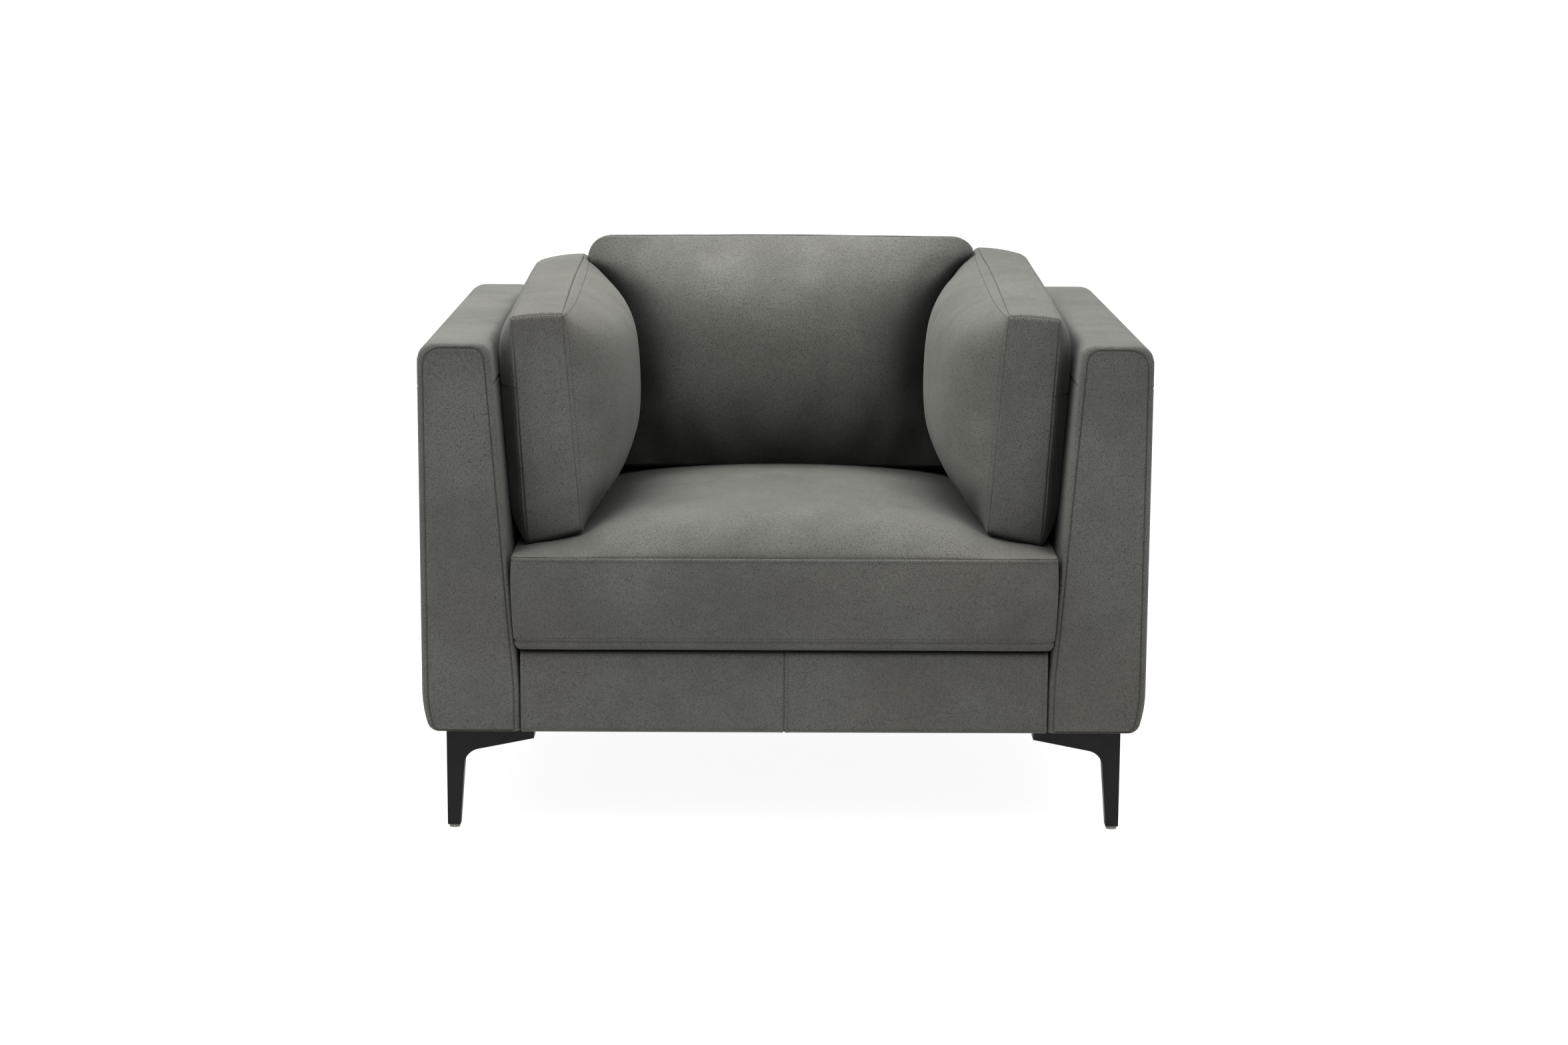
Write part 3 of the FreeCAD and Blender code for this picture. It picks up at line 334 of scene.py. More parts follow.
class Stitching:
    """Thread laid along lines of a surface's points, gathered into one piece."""

    def __init__(self, surface, faces):
        self.surface = surface
        self.normals = surface_normals(surface, faces)
        self.points = []
        self.faces = []

    def run(self, line, radius=0.42 * MM):
        """Separate stitches."""
        normals = self.normals[line]
        line = self.surface[line]
        travel = travelled(line)
        lift = np.array([-0.5, 0.15, 0.35, 0.15, -0.5]) * radius
        girth = np.array([0.35, 0.9, 1.0, 0.9, 0.35]) * radius
        turns = [turn * math.pi / 3 for turn in range(6)]
        for start in np.arange(STITCH_PITCH / 2, travel[-1] - STITCH_LENGTH, STITCH_PITCH):
            places = start + np.array([0.0, 0.12, 0.5, 0.88, 1.0]) * STITCH_LENGTH
            middle = read_along(line, travel, places)
            up = unit(read_along(normals, travel, start))
            side = np.cross(unit(middle[-1] - middle[0]), up)
            first = len(self.points)
            self.points += [
                middle[k] + up * lift[k] + (side * math.cos(turn) + up * math.sin(turn)) * girth[k]
                for k in range(5) for turn in turns]
            for low in range(first, first + 24, 6):
                self.faces += [(low + k, low + 6 + k, low + 6 + (k + 1) % 6, low + (k + 1) % 6)
                               for k in range(6)]
            last = first + 24
            self.faces += [(first, first + 1, first + 2, first + 3),
                           (first, first + 3, first + 4, first + 5),
                           (last, last + 3, last + 2, last + 1),
                           (last, last + 5, last + 4, last + 3)]

    def thread_and_shade_cord(self, line, radius=0.65 * MM):
        """A continuous dark thread in the bottom of a seam, which also stands in as painted shade
        darkening the seam's groove.
        """
        closed = line[0] == line[-1]
        normals = self.normals[line]
        line = self.surface[line]
        along = np.roll(line, -1, axis=0) - np.roll(line, 1, axis=0)
        along[0] = line[1] - line[-2 if closed else 0]
        along[-1] = along[0] if closed else line[-1] - line[-2]
        side = unit(np.cross(along, normals))
        first = len(self.points)
        count = len(line)
        for number in range(5):
            turn = number * 2 * math.pi / 5
            ring = line + (side * math.cos(turn) + normals * math.sin(turn)) * radius
            self.points += ring.tolist()
            low = first + number * count
            high = first + (number + 1) % 5 * count
            self.faces += [(low + k, low + k + 1, high + k + 1, high + k)
                           for k in range(count - 1)]

    def make(self, name, body):
        make_piece(name + "_stitches", self.points, self.faces, body, "zip_tape", THREAD)


# ---- Rounded outlines

class Outline:
    """A four-sided outline with rounded corners. Side k runs from corner k to corner k + 1."""

    def __init__(self, corners, radii, bows=(0, 0, 0, 0)):
        self.sides = []
        corners = [np.array(corner, float) for corner in corners]
        arcs = [self.arc(corners[k - 1], corners[k], corners[(k + 1) % 4], radii[k])
                for k in range(4)]
        for k in range(4):
            leaving = arcs[k][len(arcs[k]) // 2:]
            arriving = arcs[(k + 1) % 4][:len(arcs[k]) // 2 + 1]
            along = arriving[0] - leaving[-1]
            outward = unit(np.array([along[1], -along[0]]))
            share = np.linspace(0, 1, 41)[1:-1, None]
            bow = outward * bows[k] * np.sin(math.pi * share) ** 1.5
            line = np.concatenate([leaving, leaving[-1] + along * share + bow, arriving])
            self.sides.append((line, travelled(line)))

    @staticmethod
    def arc(before, corner, after, radius):
        """Points of the round at a corner, from one tangent point to the other."""
        towards = unit(before - corner)
        away = unit(after - corner)
        half = math.acos(np.clip(towards @ away, -1, 1)) / 2
        reach = radius / math.tan(half)
        centre = corner + unit(towards + away) * radius / math.sin(half)
        first = corner + towards * reach - centre
        last = corner + away * reach - centre
        turn = math.pi - 2 * half
        parts = [(math.sin((1 - s) * turn) * first + math.sin(s * turn) * last) / math.sin(turn)
                 for s in np.linspace(0, 1, 13)]
        return centre + np.array(parts)

    def length(self, k):
        return self.sides[k][1][-1]

    def side(self, k, shares, backwards=False):
        line, travel = self.sides[k]
        places = (1 - np.asarray(shares) if backwards else np.asarray(shares)) * travel[-1]
        return read_along(line, travel, places)

    def fill(self, u, v):
        """A table of points over the outline: rows follow v, columns follow u."""
        low = self.side(0, u)
        high = self.side(2, u, True)
        right = self.side(1, v)
        left = self.side(3, v, True)
        uu, vv = u[:, None], v[:, None, None]
        corners = ((1 - uu) * (1 - vv) * low[0] + uu * (1 - vv) * low[-1]
                   + (1 - uu) * vv * high[0] + uu * vv * high[-1])
        return ((1 - vv) * low[None] + vv * high[None]
                + (1 - uu) * left[:, None] + uu * right[:, None] - corners)


def edge_distance(u, v, wide, tall):
    """Distance in metres from the nearest side, at the shares u across and v along."""
    return np.minimum(np.minimum(u, 1 - u) * wide, np.minimum(v, 1 - v) * tall)


def rim(table):
    """The border of a table of points or numbers, once round."""
    return np.concatenate([table[0, :-1], table[:-1, -1], table[-1, :0:-1], table[:0:-1, 0]])


def loop(index, inset=0):
    """Point numbers once round a panel, some rows in from its seam, and back to the first."""
    inside = index[inset:len(index) - inset, inset:index.shape[1] - inset]
    return np.append(rim(inside), inside[0, 0])


# ---- Closed covers: two panels and a strip round them

def weights(shares, count):
    """Cubic weights that read an even row of count values at each share of its length."""
    places = np.clip(np.asarray(shares) * (count - 1), 0, count - 1)
    low = np.minimum(places.astype(int), count - 2)
    t = places - low
    terms = (-0.5 * t + t ** 2 - 0.5 * t ** 3, 1 - 2.5 * t ** 2 + 1.5 * t ** 3,
             0.5 * t + 2 * t ** 2 - 1.5 * t ** 3, -0.5 * t ** 2 + 0.5 * t ** 3)
    table = np.zeros((len(places), count))
    for offset, term in zip((-1, 0, 1, 2), terms):
        np.add.at(table, (np.arange(len(places)), np.clip(low + offset, 0, count - 1)), term)
    return table


def resample(table, u, v):
    """Read an even table of vectors at the shares u across and v along."""
    rows, columns = table.shape[:2]
    return np.einsum("ri,ijk,cj->rck", weights(v, rows), table, weights(u, columns))


def ring_starts(columns, rows):
    """Where each side starts in a rim taken from a table of rows by columns."""
    return [0, columns - 1, columns + rows - 2, 2 * columns + rows - 3, 2 * (columns + rows) - 4]


def side_tables(ring, columns, rows):
    """Cut a ring of columns into its four sides, each with its last column."""
    closed = np.append(ring, ring[:, :1], axis=1)
    starts = ring_starts(columns, rows)
    return [closed[:, low:high + 1] for low, high in zip(starts, starts[1:])]


def ring_places(u, v, wide, tall):
    """For each point round a rim: its side, and its distances from the ends of that side."""
    shares = [u[:-1], v[:-1], 1 - u[:0:-1], 1 - v[:0:-1]]
    side = np.repeat(range(4), [len(share) for share in shares])
    lengths = np.array([wide, tall, wide, tall])[side]
    start = np.concatenate(shares) * lengths
    return side, start, lengths - start


def ring_outward(ring):
    """The outward direction in plan at each point of a counterclockwise ring."""
    ahead = np.roll(ring, -1, axis=0) - np.roll(ring, 1, axis=0)
    return unit(np.stack([ahead[:, 1], -ahead[:, 0], np.zeros(len(ahead))], axis=1))


class Cover:
    """A closed cover: tables for panel A and panel B, and the strip between their rims."""

    def __init__(self, panels, strip):
        self.panels = panels
        self.strip = strip
        rows, columns = panels[0].shape[:2]
        count = rows * columns
        self.index_a = np.arange(count).reshape(rows, columns)
        self.index_b = self.index_a + count
        inner = 2 * count + np.arange((strip.shape[0] - 2) * strip.shape[1])
        ring = np.concatenate([rim(self.index_a)[None], inner.reshape(-1, strip.shape[1]),
                               rim(self.index_b)[None]])
        self.index_q = np.concatenate([ring, ring[:, :1]], axis=1)

    def points(self):
        return np.concatenate([self.panels[0].reshape(-1, 3), self.panels[1].reshape(-1, 3),
                               self.strip[1:-1].reshape(-1, 3)])

    def faces(self, mirrored=False):
        faces = np.concatenate([quads(self.index_a), quads(self.index_b)[:, ::-1],
                                quads(self.index_q)[:, ::-1]])
        return faces[:, ::-1] if mirrored else faces


# ---- Cloth

SIM_FRAMES = 20
SIM_STEP = 17 * MM
CLOTH = {"quality": 5, "mass": 0.4, "tension_stiffness": 30, "compression_stiffness": 30,
         "shear_stiffness": 15, "bending_stiffness": 6, "vertex_group_mass": "seams",
         "shrink_min": -0.015, "use_pressure": True, "uniform_pressure_force": 4.0}


def blow_up(points, faces, pinned):
    """Let pressure fill a cover whose seams are held, and return where its points went."""
    scene = bpy.context.scene
    mesh = bpy.data.meshes.new("cloth")
    mesh.from_pydata(points.tolist(), [], faces.tolist())
    cloth_piece = add_object("cloth", mesh)
    cloth_piece.vertex_groups.new(name="seams").add(pinned.tolist(), 1.0, "REPLACE")
    modifier = cloth_piece.modifiers.new("Cloth", "CLOTH")
    for name, value in CLOTH.items():
        setattr(modifier.settings, name, value)
    modifier.settings.effector_weights.gravity = 0
    modifier.point_cache.frame_start = 1
    modifier.point_cache.frame_end = SIM_FRAMES
    for step in range(1, SIM_FRAMES + 1):
        scene.frame_set(step)
    settled = cloth_piece.evaluated_get(bpy.context.evaluated_depsgraph_get())
    moved = np.empty(len(points) * 3)
    settled.data.vertices.foreach_get("co", moved)
    bpy.data.objects.remove(cloth_piece)
    bpy.data.meshes.remove(mesh)
    scene.frame_set(1)
    return moved.reshape(-1, 3)


def capped(offsets, cap):
    """Shorten offsets smoothly so that none is longer than cap."""
    length = np.maximum(np.linalg.norm(offsets, axis=-1, keepdims=True), 1e-9)
    return offsets / length * cap * np.tanh(length / cap)


def softened(table):
    """Even out single-point ripples in a table of offsets."""
    for axis in (0, 1):
        padded = np.concatenate([table.take([0], axis), table, table.take([-1], axis)], axis)
        count = table.shape[axis]
        before, middle, after = (padded.take(range(k, k + count), axis) for k in range(3))
        table = (before + 2 * middle + after) / 4
    return table


# ---- Boxed cushions

PANEL_STEP = 9 * MM
CORNER_EASE = 60 * MM
ZIP_HALF = 8 * MM
ZIP_DEPTH = 6.15 * MM
ZIP_LIP = 0.7 * MM


@dataclass
class BoxedCushion:
    """Two crowned panels joined by a strip of boxing, in three axes of its own.

    The panels lie across axes S and T and face along W. Panel A is on the +W side. The sides
    are numbered as in the outlines.
    """

    name: str
    body: str
    origin: tuple
    axes: list
    outlines: tuple
    levels: tuple
    crowns: tuple
    bulges: list
    caps: tuple
    zip_side: int
    zip_reach: float
    zip_share: float = 0.5
    panel_stitches: bool = False
    boxing_stitches: bool = False
    corner_seams: tuple = ()
    panel_seam: float = None

    def __post_init__(self):
        self.origin = np.array(self.origin, float)
        self.axes = np.array(self.axes, float)
        self.bulges = np.array(self.bulges, float)
        self.wide = self.outlines[0].length(0)
        self.tall = self.outlines[0].length(1)
        self.deep = abs(self.levels[0] - self.levels[1])
        self.mirrored = np.linalg.det(self.axes) < 0

    def boxing_rows(self):
        """Shares across the boxing, with extra rows at the lips of the zip's channel."""
        lip = ZIP_HALF / self.deep
        edge = ZIP_LIP / self.deep
        rows = [row for row in stops(self.deep, PANEL_STEP)
                if abs(abs(row - self.zip_share) - lip) > 2.5 * edge]
        for side in (-1, 1):
            rows += [self.zip_share + side * lip, self.zip_share + side * (lip - edge)]
        return np.array(sorted(rows))

    def side_bulge(self, u, v):
        """Bulge of the boxing round the ring, eased from side to side at the corners."""
        side, *ends = ring_places(u, v, self.wide, self.tall)
        lead, trail = (np.clip(0.5 + end / CORNER_EASE / 2, 0, 1) for end in ends)
        return (self.bulges[side - 1] * (1 - lead) + self.bulges[(side + 1) % 4] * (1 - trail)
                + self.bulges[side] * (lead + trail - 1))

    def tables(self, u, v, q, seams):
        panels = []
        for outline, level, crown, side in zip(self.outlines, self.levels, self.crowns, (1, -1)):
            flat = outline.fill(u, v)
            rise = np.broadcast_to(crown(u, v[:, None]) * side, flat.shape[:2])
            panels.append(np.dstack([flat, level + rise]))
        rings = [rim(panel) for panel in panels]
        outward = ring_outward(rings[0])
        across = q[:, None, None]
        arch = (4 * across * (1 - across)) ** 0.8
        strip = rings[0][None] * (1 - across) + rings[1][None] * across
        strip = strip + outward[None] * self.side_bulge(u, v)[None, :, None] * arch
        if seams:
            self.sink_seams(panels, strip, outward, u, v, q)
        return [self.place(panel) for panel in panels], self.place(strip)

    def sink_seams(self, panels, strip, outward, u, v, q):
        """Draw every seam in, and press the channel for the zip."""
        depth = sink_at(edge_distance(u, v[:, None], self.wide, self.tall), CUSHION_SINK)
        panels[0][..., 2] -= depth
        panels[1][..., 2] += depth
        if self.panel_seam:
            away = np.abs(v * self.tall - self.panel_seam)
            panels[0][..., 2] -= sink_at(away, CUSHION_SINK)[:, None]
        edge = np.minimum(q, 1 - q) * self.deep
        strip -= outward[None] * sink_at(edge, CUSHION_SINK)[:, None, None]
        side, start, left = ring_places(u, v, self.wide, self.tall)
        for corner in self.corner_seams:
            away = np.where(side == corner, start, np.where(side == (corner - 1) % 4, left, 1))
            strip -= outward[None] * sink_at(away, CUSHION_SINK)[None, :, None]
        for panel, row in zip(panels, (0, -1)):
            order = rim(np.arange(len(v) * len(u)).reshape(panel.shape[:2]))
            panel.reshape(-1, 3)[order] -= outward * CUSHION_SINK[0]
            strip[row] = rim(panel)
        inside = (side == self.zip_side) & (np.abs(start - left) / 2 < self.zip_reach)
        trough = np.abs(q - self.zip_share) * self.deep < ZIP_HALF - 0.3 * MM
        depth = ZIP_DEPTH + self.bulges[self.zip_side]
        strip -= outward[None] * (depth * inside[None, :, None] * trough[:, None, None])

    def place(self, table):
        return (self.origin + table.reshape(-1, 3) @ self.axes).reshape(table.shape)

    def swell(self, u, v, q):
        """Offsets from the cloth simulation, for the panels and the boxing."""
        counts = [max(6, round(size / SIM_STEP)) + 1 for size in (self.wide, self.tall, self.deep)]
        even = [np.linspace(0, 1, count) for count in counts]
        cover = Cover(*self.tables(*even, seams=False))
        points = cover.points()
        pinned = np.concatenate([rim(cover.index_a), rim(cover.index_b)])
        offsets = blow_up(points, cover.faces(self.mirrored), pinned) - points
        tables = [offsets[cover.index_a], offsets[cover.index_b], offsets[cover.index_q[:, :-1]]]
        tables = [softened(capped(table, cap)) for table, cap in zip(tables, self.caps)]
        fine = []
        for k, side in enumerate(side_tables(tables[2], counts[0], counts[1])):
            read = resample(side, (u, v, 1 - u[::-1], 1 - v[::-1])[k], q)[:, :-1]
            fine.append(read * (0.0 if k == self.zip_side else 1.0))
        return [resample(table, u, v) for table in tables[:2]], np.concatenate(fine, axis=1)

    def make(self, *presses):
        u = stops(self.wide, PANEL_STEP)
        v = seamed_stops(self.tall, self.panel_seam, PANEL_STEP)
        q = self.boxing_rows()
        panels, strip = self.tables(u, v, q, seams=True)
        panel_offsets, strip_offsets = self.swell(u, v, q)
        panels = [panel + offset for panel, offset in zip(panels, panel_offsets)]
        strip[1:-1] += strip_offsets[1:-1]
        cover = Cover(panels, strip)
        points = cover.points()
        for press in presses:
            points = press(points)
        faces = cover.faces(self.mirrored)
        piece = make_piece(self.name, points, faces, self.body)
        stitching = Stitching(points, faces)
        starts = ring_starts(len(u), len(v))
        if self.panel_stitches:
            stitching.run(loop(cover.index_a, STITCH_ROW))
            stitching.run(loop(cover.index_b, STITCH_ROW))
        if self.boxing_stitches:
            stitching.run(cover.index_q[STITCH_ROW])
            stitching.run(cover.index_q[-1 - STITCH_ROW])
        for corner in self.corner_seams:
            stitching.run(cover.index_q[3:-3, starts[corner] + 2])
            stitching.thread_and_shade_cord(cover.index_q[:, starts[corner]])
        stitching.thread_and_shade_cord(loop(cover.index_a))
        stitching.thread_and_shade_cord(loop(cover.index_b))
        if self.panel_seam:
            stitching.thread_and_shade_cord(cover.index_a[np.argmin(np.abs(v * self.tall - self.panel_seam))])
        stitching.make(self.name, self.body)
        return piece


CLEARANCE = 0.7 * MM
CALM_SHARE = 0.4


def surface_tree(piece):
    """The surface of a piece, ready for casting rays at it."""
    return BVHTree.FromPolygons([v.co for v in piece.data.vertices],
                                [p.vertices for p in piece.data.polygons])


def room_for(others, direction, reach=60 * MM):
    """A press that moves points back along a direction where they would pass into others."""
    way = Vector(direction)

    def press(points):
        pressed = points.copy()
        for tree in map(surface_tree, others):
            for number, point in enumerate(pressed):
                start = Vector(point) - way * reach
                hit = tree.ray_cast(start, way, reach + CLEARANCE)[0]
                if hit is not None:
                    pressed[number] = hit - way * CLEARANCE
        return pressed

    return press


def narrowed_by(other, side, half):
    """A press that narrows one side of a piece, whose half width is half(z), to clear another."""
    tree = surface_tree(other)

    def press(points):
        pressed = points.copy()
        for number, (x, y, z) in enumerate(points):
            full = half(z)
            calm = full * CALM_SHARE
            if x * side <= calm:
                continue
            hit = tree.ray_cast(Vector((calm * side, y, z)), Vector((side, 0, 0)),
                                full - calm + CLEARANCE)[0]
            if hit is not None:
                share = (hit.x * side - CLEARANCE - calm) / (full - calm)
                pressed[number, 0] = (calm + (x * side - calm) * min(share, 1.0)) * side
        return pressed

    return press


QUARTER = math.pi / 2
BULGE_PEAK = 0.875


def bulge(t):
    """A quartic curve from 0 up to BULGE_PEAK and back to 0."""
    return 4 * (1 - t) ** 3 * t + 6 * (1 - t) ** 2 * t ** 2 + 4 * (1 - t) * t ** 3


def dome(height):
    return lambda u, v: height / BULGE_PEAK ** 2 * bulge(u) * bulge(v)


# ---- The arms, the rail and the back

WRAP = 9 * MM
REAR_ROUND = 55 * MM
WRAP_THICK = 2 * MM
ARM_TOP_ROUND = 48 * MM
TOP_ROUND = 34 * MM
STRIP_SEAM = BOTTOM + 511 * MM
PANEL_WIDE = 130 * MM
OUTER_TUCK = 11 * MM
TUCK_HEIGHT = 62 * MM
ROUND_ROWS = 9


def inner_line(z):
    return ARM_FOOT + LEAN * np.maximum(0.0, z - LEAN_START)


def shape_arm(points, side):
    """Bend the straight inner face at the seat, and draw in the foot of the outer face."""
    x, y, z = points[..., 0].copy(), points[..., 1], points[..., 2]
    straight = ARM_FOOT + (z - BOTTOM) * (inner_line(ARM_TOP) - ARM_FOOT) / (ARM_TOP - BOTTOM)
    x = x + (inner_line(z) - straight) * (ARM_OUTER - x) / (ARM_OUTER - straight)
    taper = np.clip((BOTTOM + TUCK_HEIGHT - z) / TUCK_HEIGHT, 0, 1) ** 2
    share = np.clip((x - ARM_FOOT) / (ARM_OUTER - ARM_FOOT), 0, 1)
    x = x - OUTER_TUCK * taper * share ** 1.5
    return np.stack([x * side, y, z], axis=-1)


def arm_outline(inner, bottom, outer, top):
    """Section of an arm, drawn in by a distance on each of its four sides."""
    corners = [(ARM_FOOT + inner, BOTTOM + bottom), (ARM_OUTER - outer, BOTTOM + bottom),
               (ARM_OUTER - outer, ARM_TOP - top), (inner_line(ARM_TOP) + inner, ARM_TOP - top)]
    return Outline(corners, [5 * MM, 12 * MM, 27 * MM, 20 * MM])


def rounded_in(y, radius):
    """How far a side draws in at a round of this radius on the rear edge."""
    near = np.clip((y - REAR + radius) / radius, 0, 1)
    return radius * (1 - math.sqrt(1 - near ** 2))


def arm_stations():
    """Along an arm: how far back, and how far each side draws in there."""
    rows = []
    for turn in np.linspace(0, QUARTER, ROUND_ROWS):
        drawn = 1 - math.sin(turn)
        rows.append((FRONT + WRAP * (1 - math.cos(turn)), 9 * MM * drawn, 2 * MM * drawn,
                     WRAP * drawn, 8 * MM * drawn))
    finish = REAR - REAR_ROUND
    rows += [(y, 0.0, 0.0, 0.0, 0.0) for y in np.linspace(FRONT + WRAP, finish, 44)[1:-1]]
    for turn in np.linspace(0, QUARTER, 12):
        y = finish + REAR_ROUND * math.sin(turn)
        rows.append((y, rounded_in(y, WRAP) * 0.3, rounded_in(y, WRAP) * 0.3,
                     REAR_ROUND * (1 - math.cos(turn)), rounded_in(y, ARM_TOP_ROUND)))
    return rows


def make_arm(name, side, body):
    u = stops(ARM_OUTER - ARM_FOOT, 10 * MM)
    whole = arm_outline(0, 0, 0, 0)
    tall = whole.length(1)
    even = np.linspace(0, 1, 400)
    seam = np.interp(STRIP_SEAM, whole.side(1, even)[:, 1], even) * tall
    v = seamed_stops(tall, seam, 11 * MM)
    stations = arm_stations()
    flats = [arm_outline(*station[1:]).fill(u, v) for station in stations]
    puff = dome(2.5 * MM)(u, v[:, None]) - sink_at(edge_distance(u, v[:, None], PANEL_WIDE, tall))
    panels = [np.dstack([flats[row], stations[row][0] + sign * puff])
              for row, sign in ((0, -1), (-1, 1))]
    strip = np.array([rim(np.dstack([flat, np.full(flat.shape[:2], station[0])]))
                      for flat, station in zip(flats, stations)])
    outward = ring_outward(strip[ROUND_ROWS + 1])
    places, start, left = ring_places(u, v, PANEL_WIDE, tall)
    gap = np.where(places == 1, np.abs(start - seam), np.where(places == 3, np.abs(left - seam), 1))
    far = np.array([abs(station[0] - FRONT) for station in stations])
    reach = np.clip((far - 3 * MM) / (8 * MM), 0, 1)
    strip -= outward[None] * sink_at(gap, CUSHION_SINK)[None, :, None] * reach[:, None, None]
    strip[..., 2] += np.interp(far, [0, 2 * MM, 5 * MM], [0, -0.3 * MM, 0])[:, None]
    for panel, row in zip(panels, (0, -1)):
        strip[row] = rim(panel)

    def place(table):
        return shape_arm(table[..., [0, 2, 1]], side)

    cover = Cover([place(panel) for panel in panels], place(strip))
    points = cover.points()
    faces = cover.faces(mirrored=side < 0)
    piece = make_piece(name, points, faces, body)
    stitching = Stitching(points, faces)
    for index in (cover.index_a, cover.index_b):
        stitching.run(loop(index, 2), 0.36 * MM)
        stitching.thread_and_shade_cord(loop(index))
    starts = ring_starts(len(u), len(v))
    seam_row = np.argmin(np.abs(v * tall - seam))
    for column, inside in ((starts[1] + seam_row, -STITCH_ROW), (starts[4] - seam_row, STITCH_ROW)):
        stitching.thread_and_shade_cord(cover.index_q[ROUND_ROWS:, column], 0.5 * MM)
        stitching.run(cover.index_q[ROUND_ROWS + 1:-3, column + inside])
    stitching.make(name, body)
    return piece


def profile_rows(path, step):
    """Even points along a path of straight runs and rounds: (y, z) pairs."""
    path = np.asarray(path)
    travel = travelled(path)
    count = max(2, round(travel[-1] / step))
    places = np.unique(np.concatenate([np.linspace(0, travel[-1], count + 1), travel]))
    keep = [0]
    for number in range(1, len(places)):
        if places[number] - places[keep[-1]] > 0.4 * MM:
            keep.append(number)
    return read_along(path, travel, places[keep])


def quarter(centre, radius, start, finish):
    """Points of an arc in the (y, z) plane between two angles in degrees."""
    turns = np.radians(np.linspace(start, finish, 7))
    return [(centre[0] + radius * math.cos(a), centre[1] + radius * math.sin(a)) for a in turns]


def across_stops(half, seams):
    """Positions across the chair with close rows at both ends and at each inner seam."""
    edges = [-half, *seams, half]
    parts = [low + stops(high - low, 12 * MM)[:-1] * (high - low)
             for low, high in zip(edges, edges[1:])]
    return np.concatenate([*parts, [half]])


def make_slab(front, back):
    """Points and faces of a closed slab between two tables of points, and the front's numbers."""
    index = np.arange(front.shape[0] * front.shape[1]).reshape(front.shape[:2])
    other = index + index.size
    side = np.stack([loop(index)[:-1], loop(index)[1:], loop(other)[1:], loop(other)[:-1]], axis=1)
    points = np.concatenate([front.reshape(-1, 3), back.reshape(-1, 3)])
    return points, np.concatenate([quads(index), quads(other)[:, ::-1], side[:, ::-1]]), index


def make_wrap(name, body, rows, half, seams, stitched, crown, widen=lambda z: 1.0):
    """A closed slab wrapped over a profile; rows are (y, z) and half its width at the foot."""
    x = across_stops(half, seams)
    ahead = np.gradient(rows, axis=0)
    outward = unit(np.stack([-ahead[:, 1], ahead[:, 0]], axis=1))
    distance = np.min([np.abs(x - edge) for edge in [-half, *seams, half]], axis=0)
    rise = np.clip(bulge(np.linspace(0, 1, len(rows))), 0, 1)
    shift = crown * bulge((x + half) / (2 * half)) * rise[:, None] - sink_at(distance)
    y, z = (rows[:, k, None] + outward[:, k, None] * shift for k in range(2))
    front = np.stack([np.broadcast_to(x, y.shape) * widen(z), y, z], axis=-1)
    back = front.copy()
    back[..., 1:] -= outward[:, None] * WRAP_THICK
    points, faces, index = make_slab(front, back)
    piece = make_piece(name, points, faces, body)
    stitching = Stitching(points, faces)
    for places, draw in ((stitched, stitching.run), (seams, stitching.thread_and_shade_cord)):
        for place in places:
            draw(index[:, np.argmin(np.abs(x - place))])
    stitching.make(name, body)
    return piece


# ---- Fixed pieces

arms = {}
for label, sign in (("left", -1), ("right", 1)):
    arms[label] = make_arm(label + "_arm_leather", sign, "chassis")
    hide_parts(label + "_arm_cover", label + "_arm_foam")

RAIL_HALF = RAIL_HIGH.x
RAIL_ROUND = 12 * MM
RAIL_STITCHES = 5.6 * MM
rail_path = [(FRONT + 12 * MM, BOTTOM), (FRONT + 4 * MM, BOTTOM), (FRONT, BOTTOM + 4 * MM)]
rail_path += quarter((FRONT + RAIL_ROUND, RAIL_HIGH.z - RAIL_ROUND), RAIL_ROUND, 180, 90)
rail_path.append((RAIL_HIGH.y, RAIL_HIGH.z))
rail = make_wrap("front_rail_leather", "chassis", profile_rows(rail_path, 9 * MM), RAIL_HALF,
                 [0.0], [-RAIL_HALF + RAIL_STITCHES, RAIL_HALF - RAIL_STITCHES, RAIL_STITCHES],
                 crown=1.5 * MM)
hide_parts("front_rail_cover", "front_rail_foam")

BACK_ROUND = 20 * MM
BACK_STITCHES = 6 * MM
back_path = [(BACK_LOW.y, BACK_LOW.z)]
back_path += quarter((BACK_LOW.y + BACK_ROUND, ARM_TOP - BACK_ROUND), BACK_ROUND, 180, 90)
back_path += quarter((REAR - TOP_ROUND, ARM_TOP - TOP_ROUND), TOP_ROUND, 90, 0)
back_path.append((REAR, BOTTOM + 3 * MM))
back = make_wrap("back_leather", "chassis", profile_rows(back_path, 11 * MM),
                 ARM_FOOT - 0.6 * MM, [], [-ARM_FOOT + BACK_STITCHES, ARM_FOOT - BACK_STITCHES],
                 crown=2.0 * MM, widen=lambda z: inner_line(z) / ARM_FOOT)
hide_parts("inside_back_cover", "outside_back_cover", "back_foam")


SHEET_RIPPLE = 0.25 * MM


def make_sheet(name, node, slot, sag, thick, margin=0.0):
    """A thin closed sheet that hangs a little between its stapled edges."""
    low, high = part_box(node)
    edge = Vector((margin, margin, 0))
    low, high = low + edge, high - edge
    x = np.linspace(low.x, high.x, 61)
    y = np.linspace(low.y, high.y, 51)
    u = (x - low.x) / (high.x - low.x)
    v = (y - low.y) / (high.y - low.y)
    fall = dome(sag)(u, v[:, None])
    ripple = SHEET_RIPPLE * np.sin(u * 61) * np.sin(v[:, None] * 47 + 1.0)
    fall = fall + ripple * np.clip(fall / sag, 0, 1)
    top = np.stack([*np.meshgrid(x, y), high.z - fall], axis=-1)
    points, faces, _index = make_slab(top, top - [0, 0, thick])
    piece = make_piece(name, points, faces, "chassis", slot)
    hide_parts(node)


make_sheet("deck_sheet", "deck_cloth", "deck_cloth", 1.2 * MM, 1.0 * MM)
make_sheet("dust_sheet", "dust_cover", "dust_cloth", 3.0 * MM, 0.6 * MM,
           margin=14 * MM)

# ---- Cushions

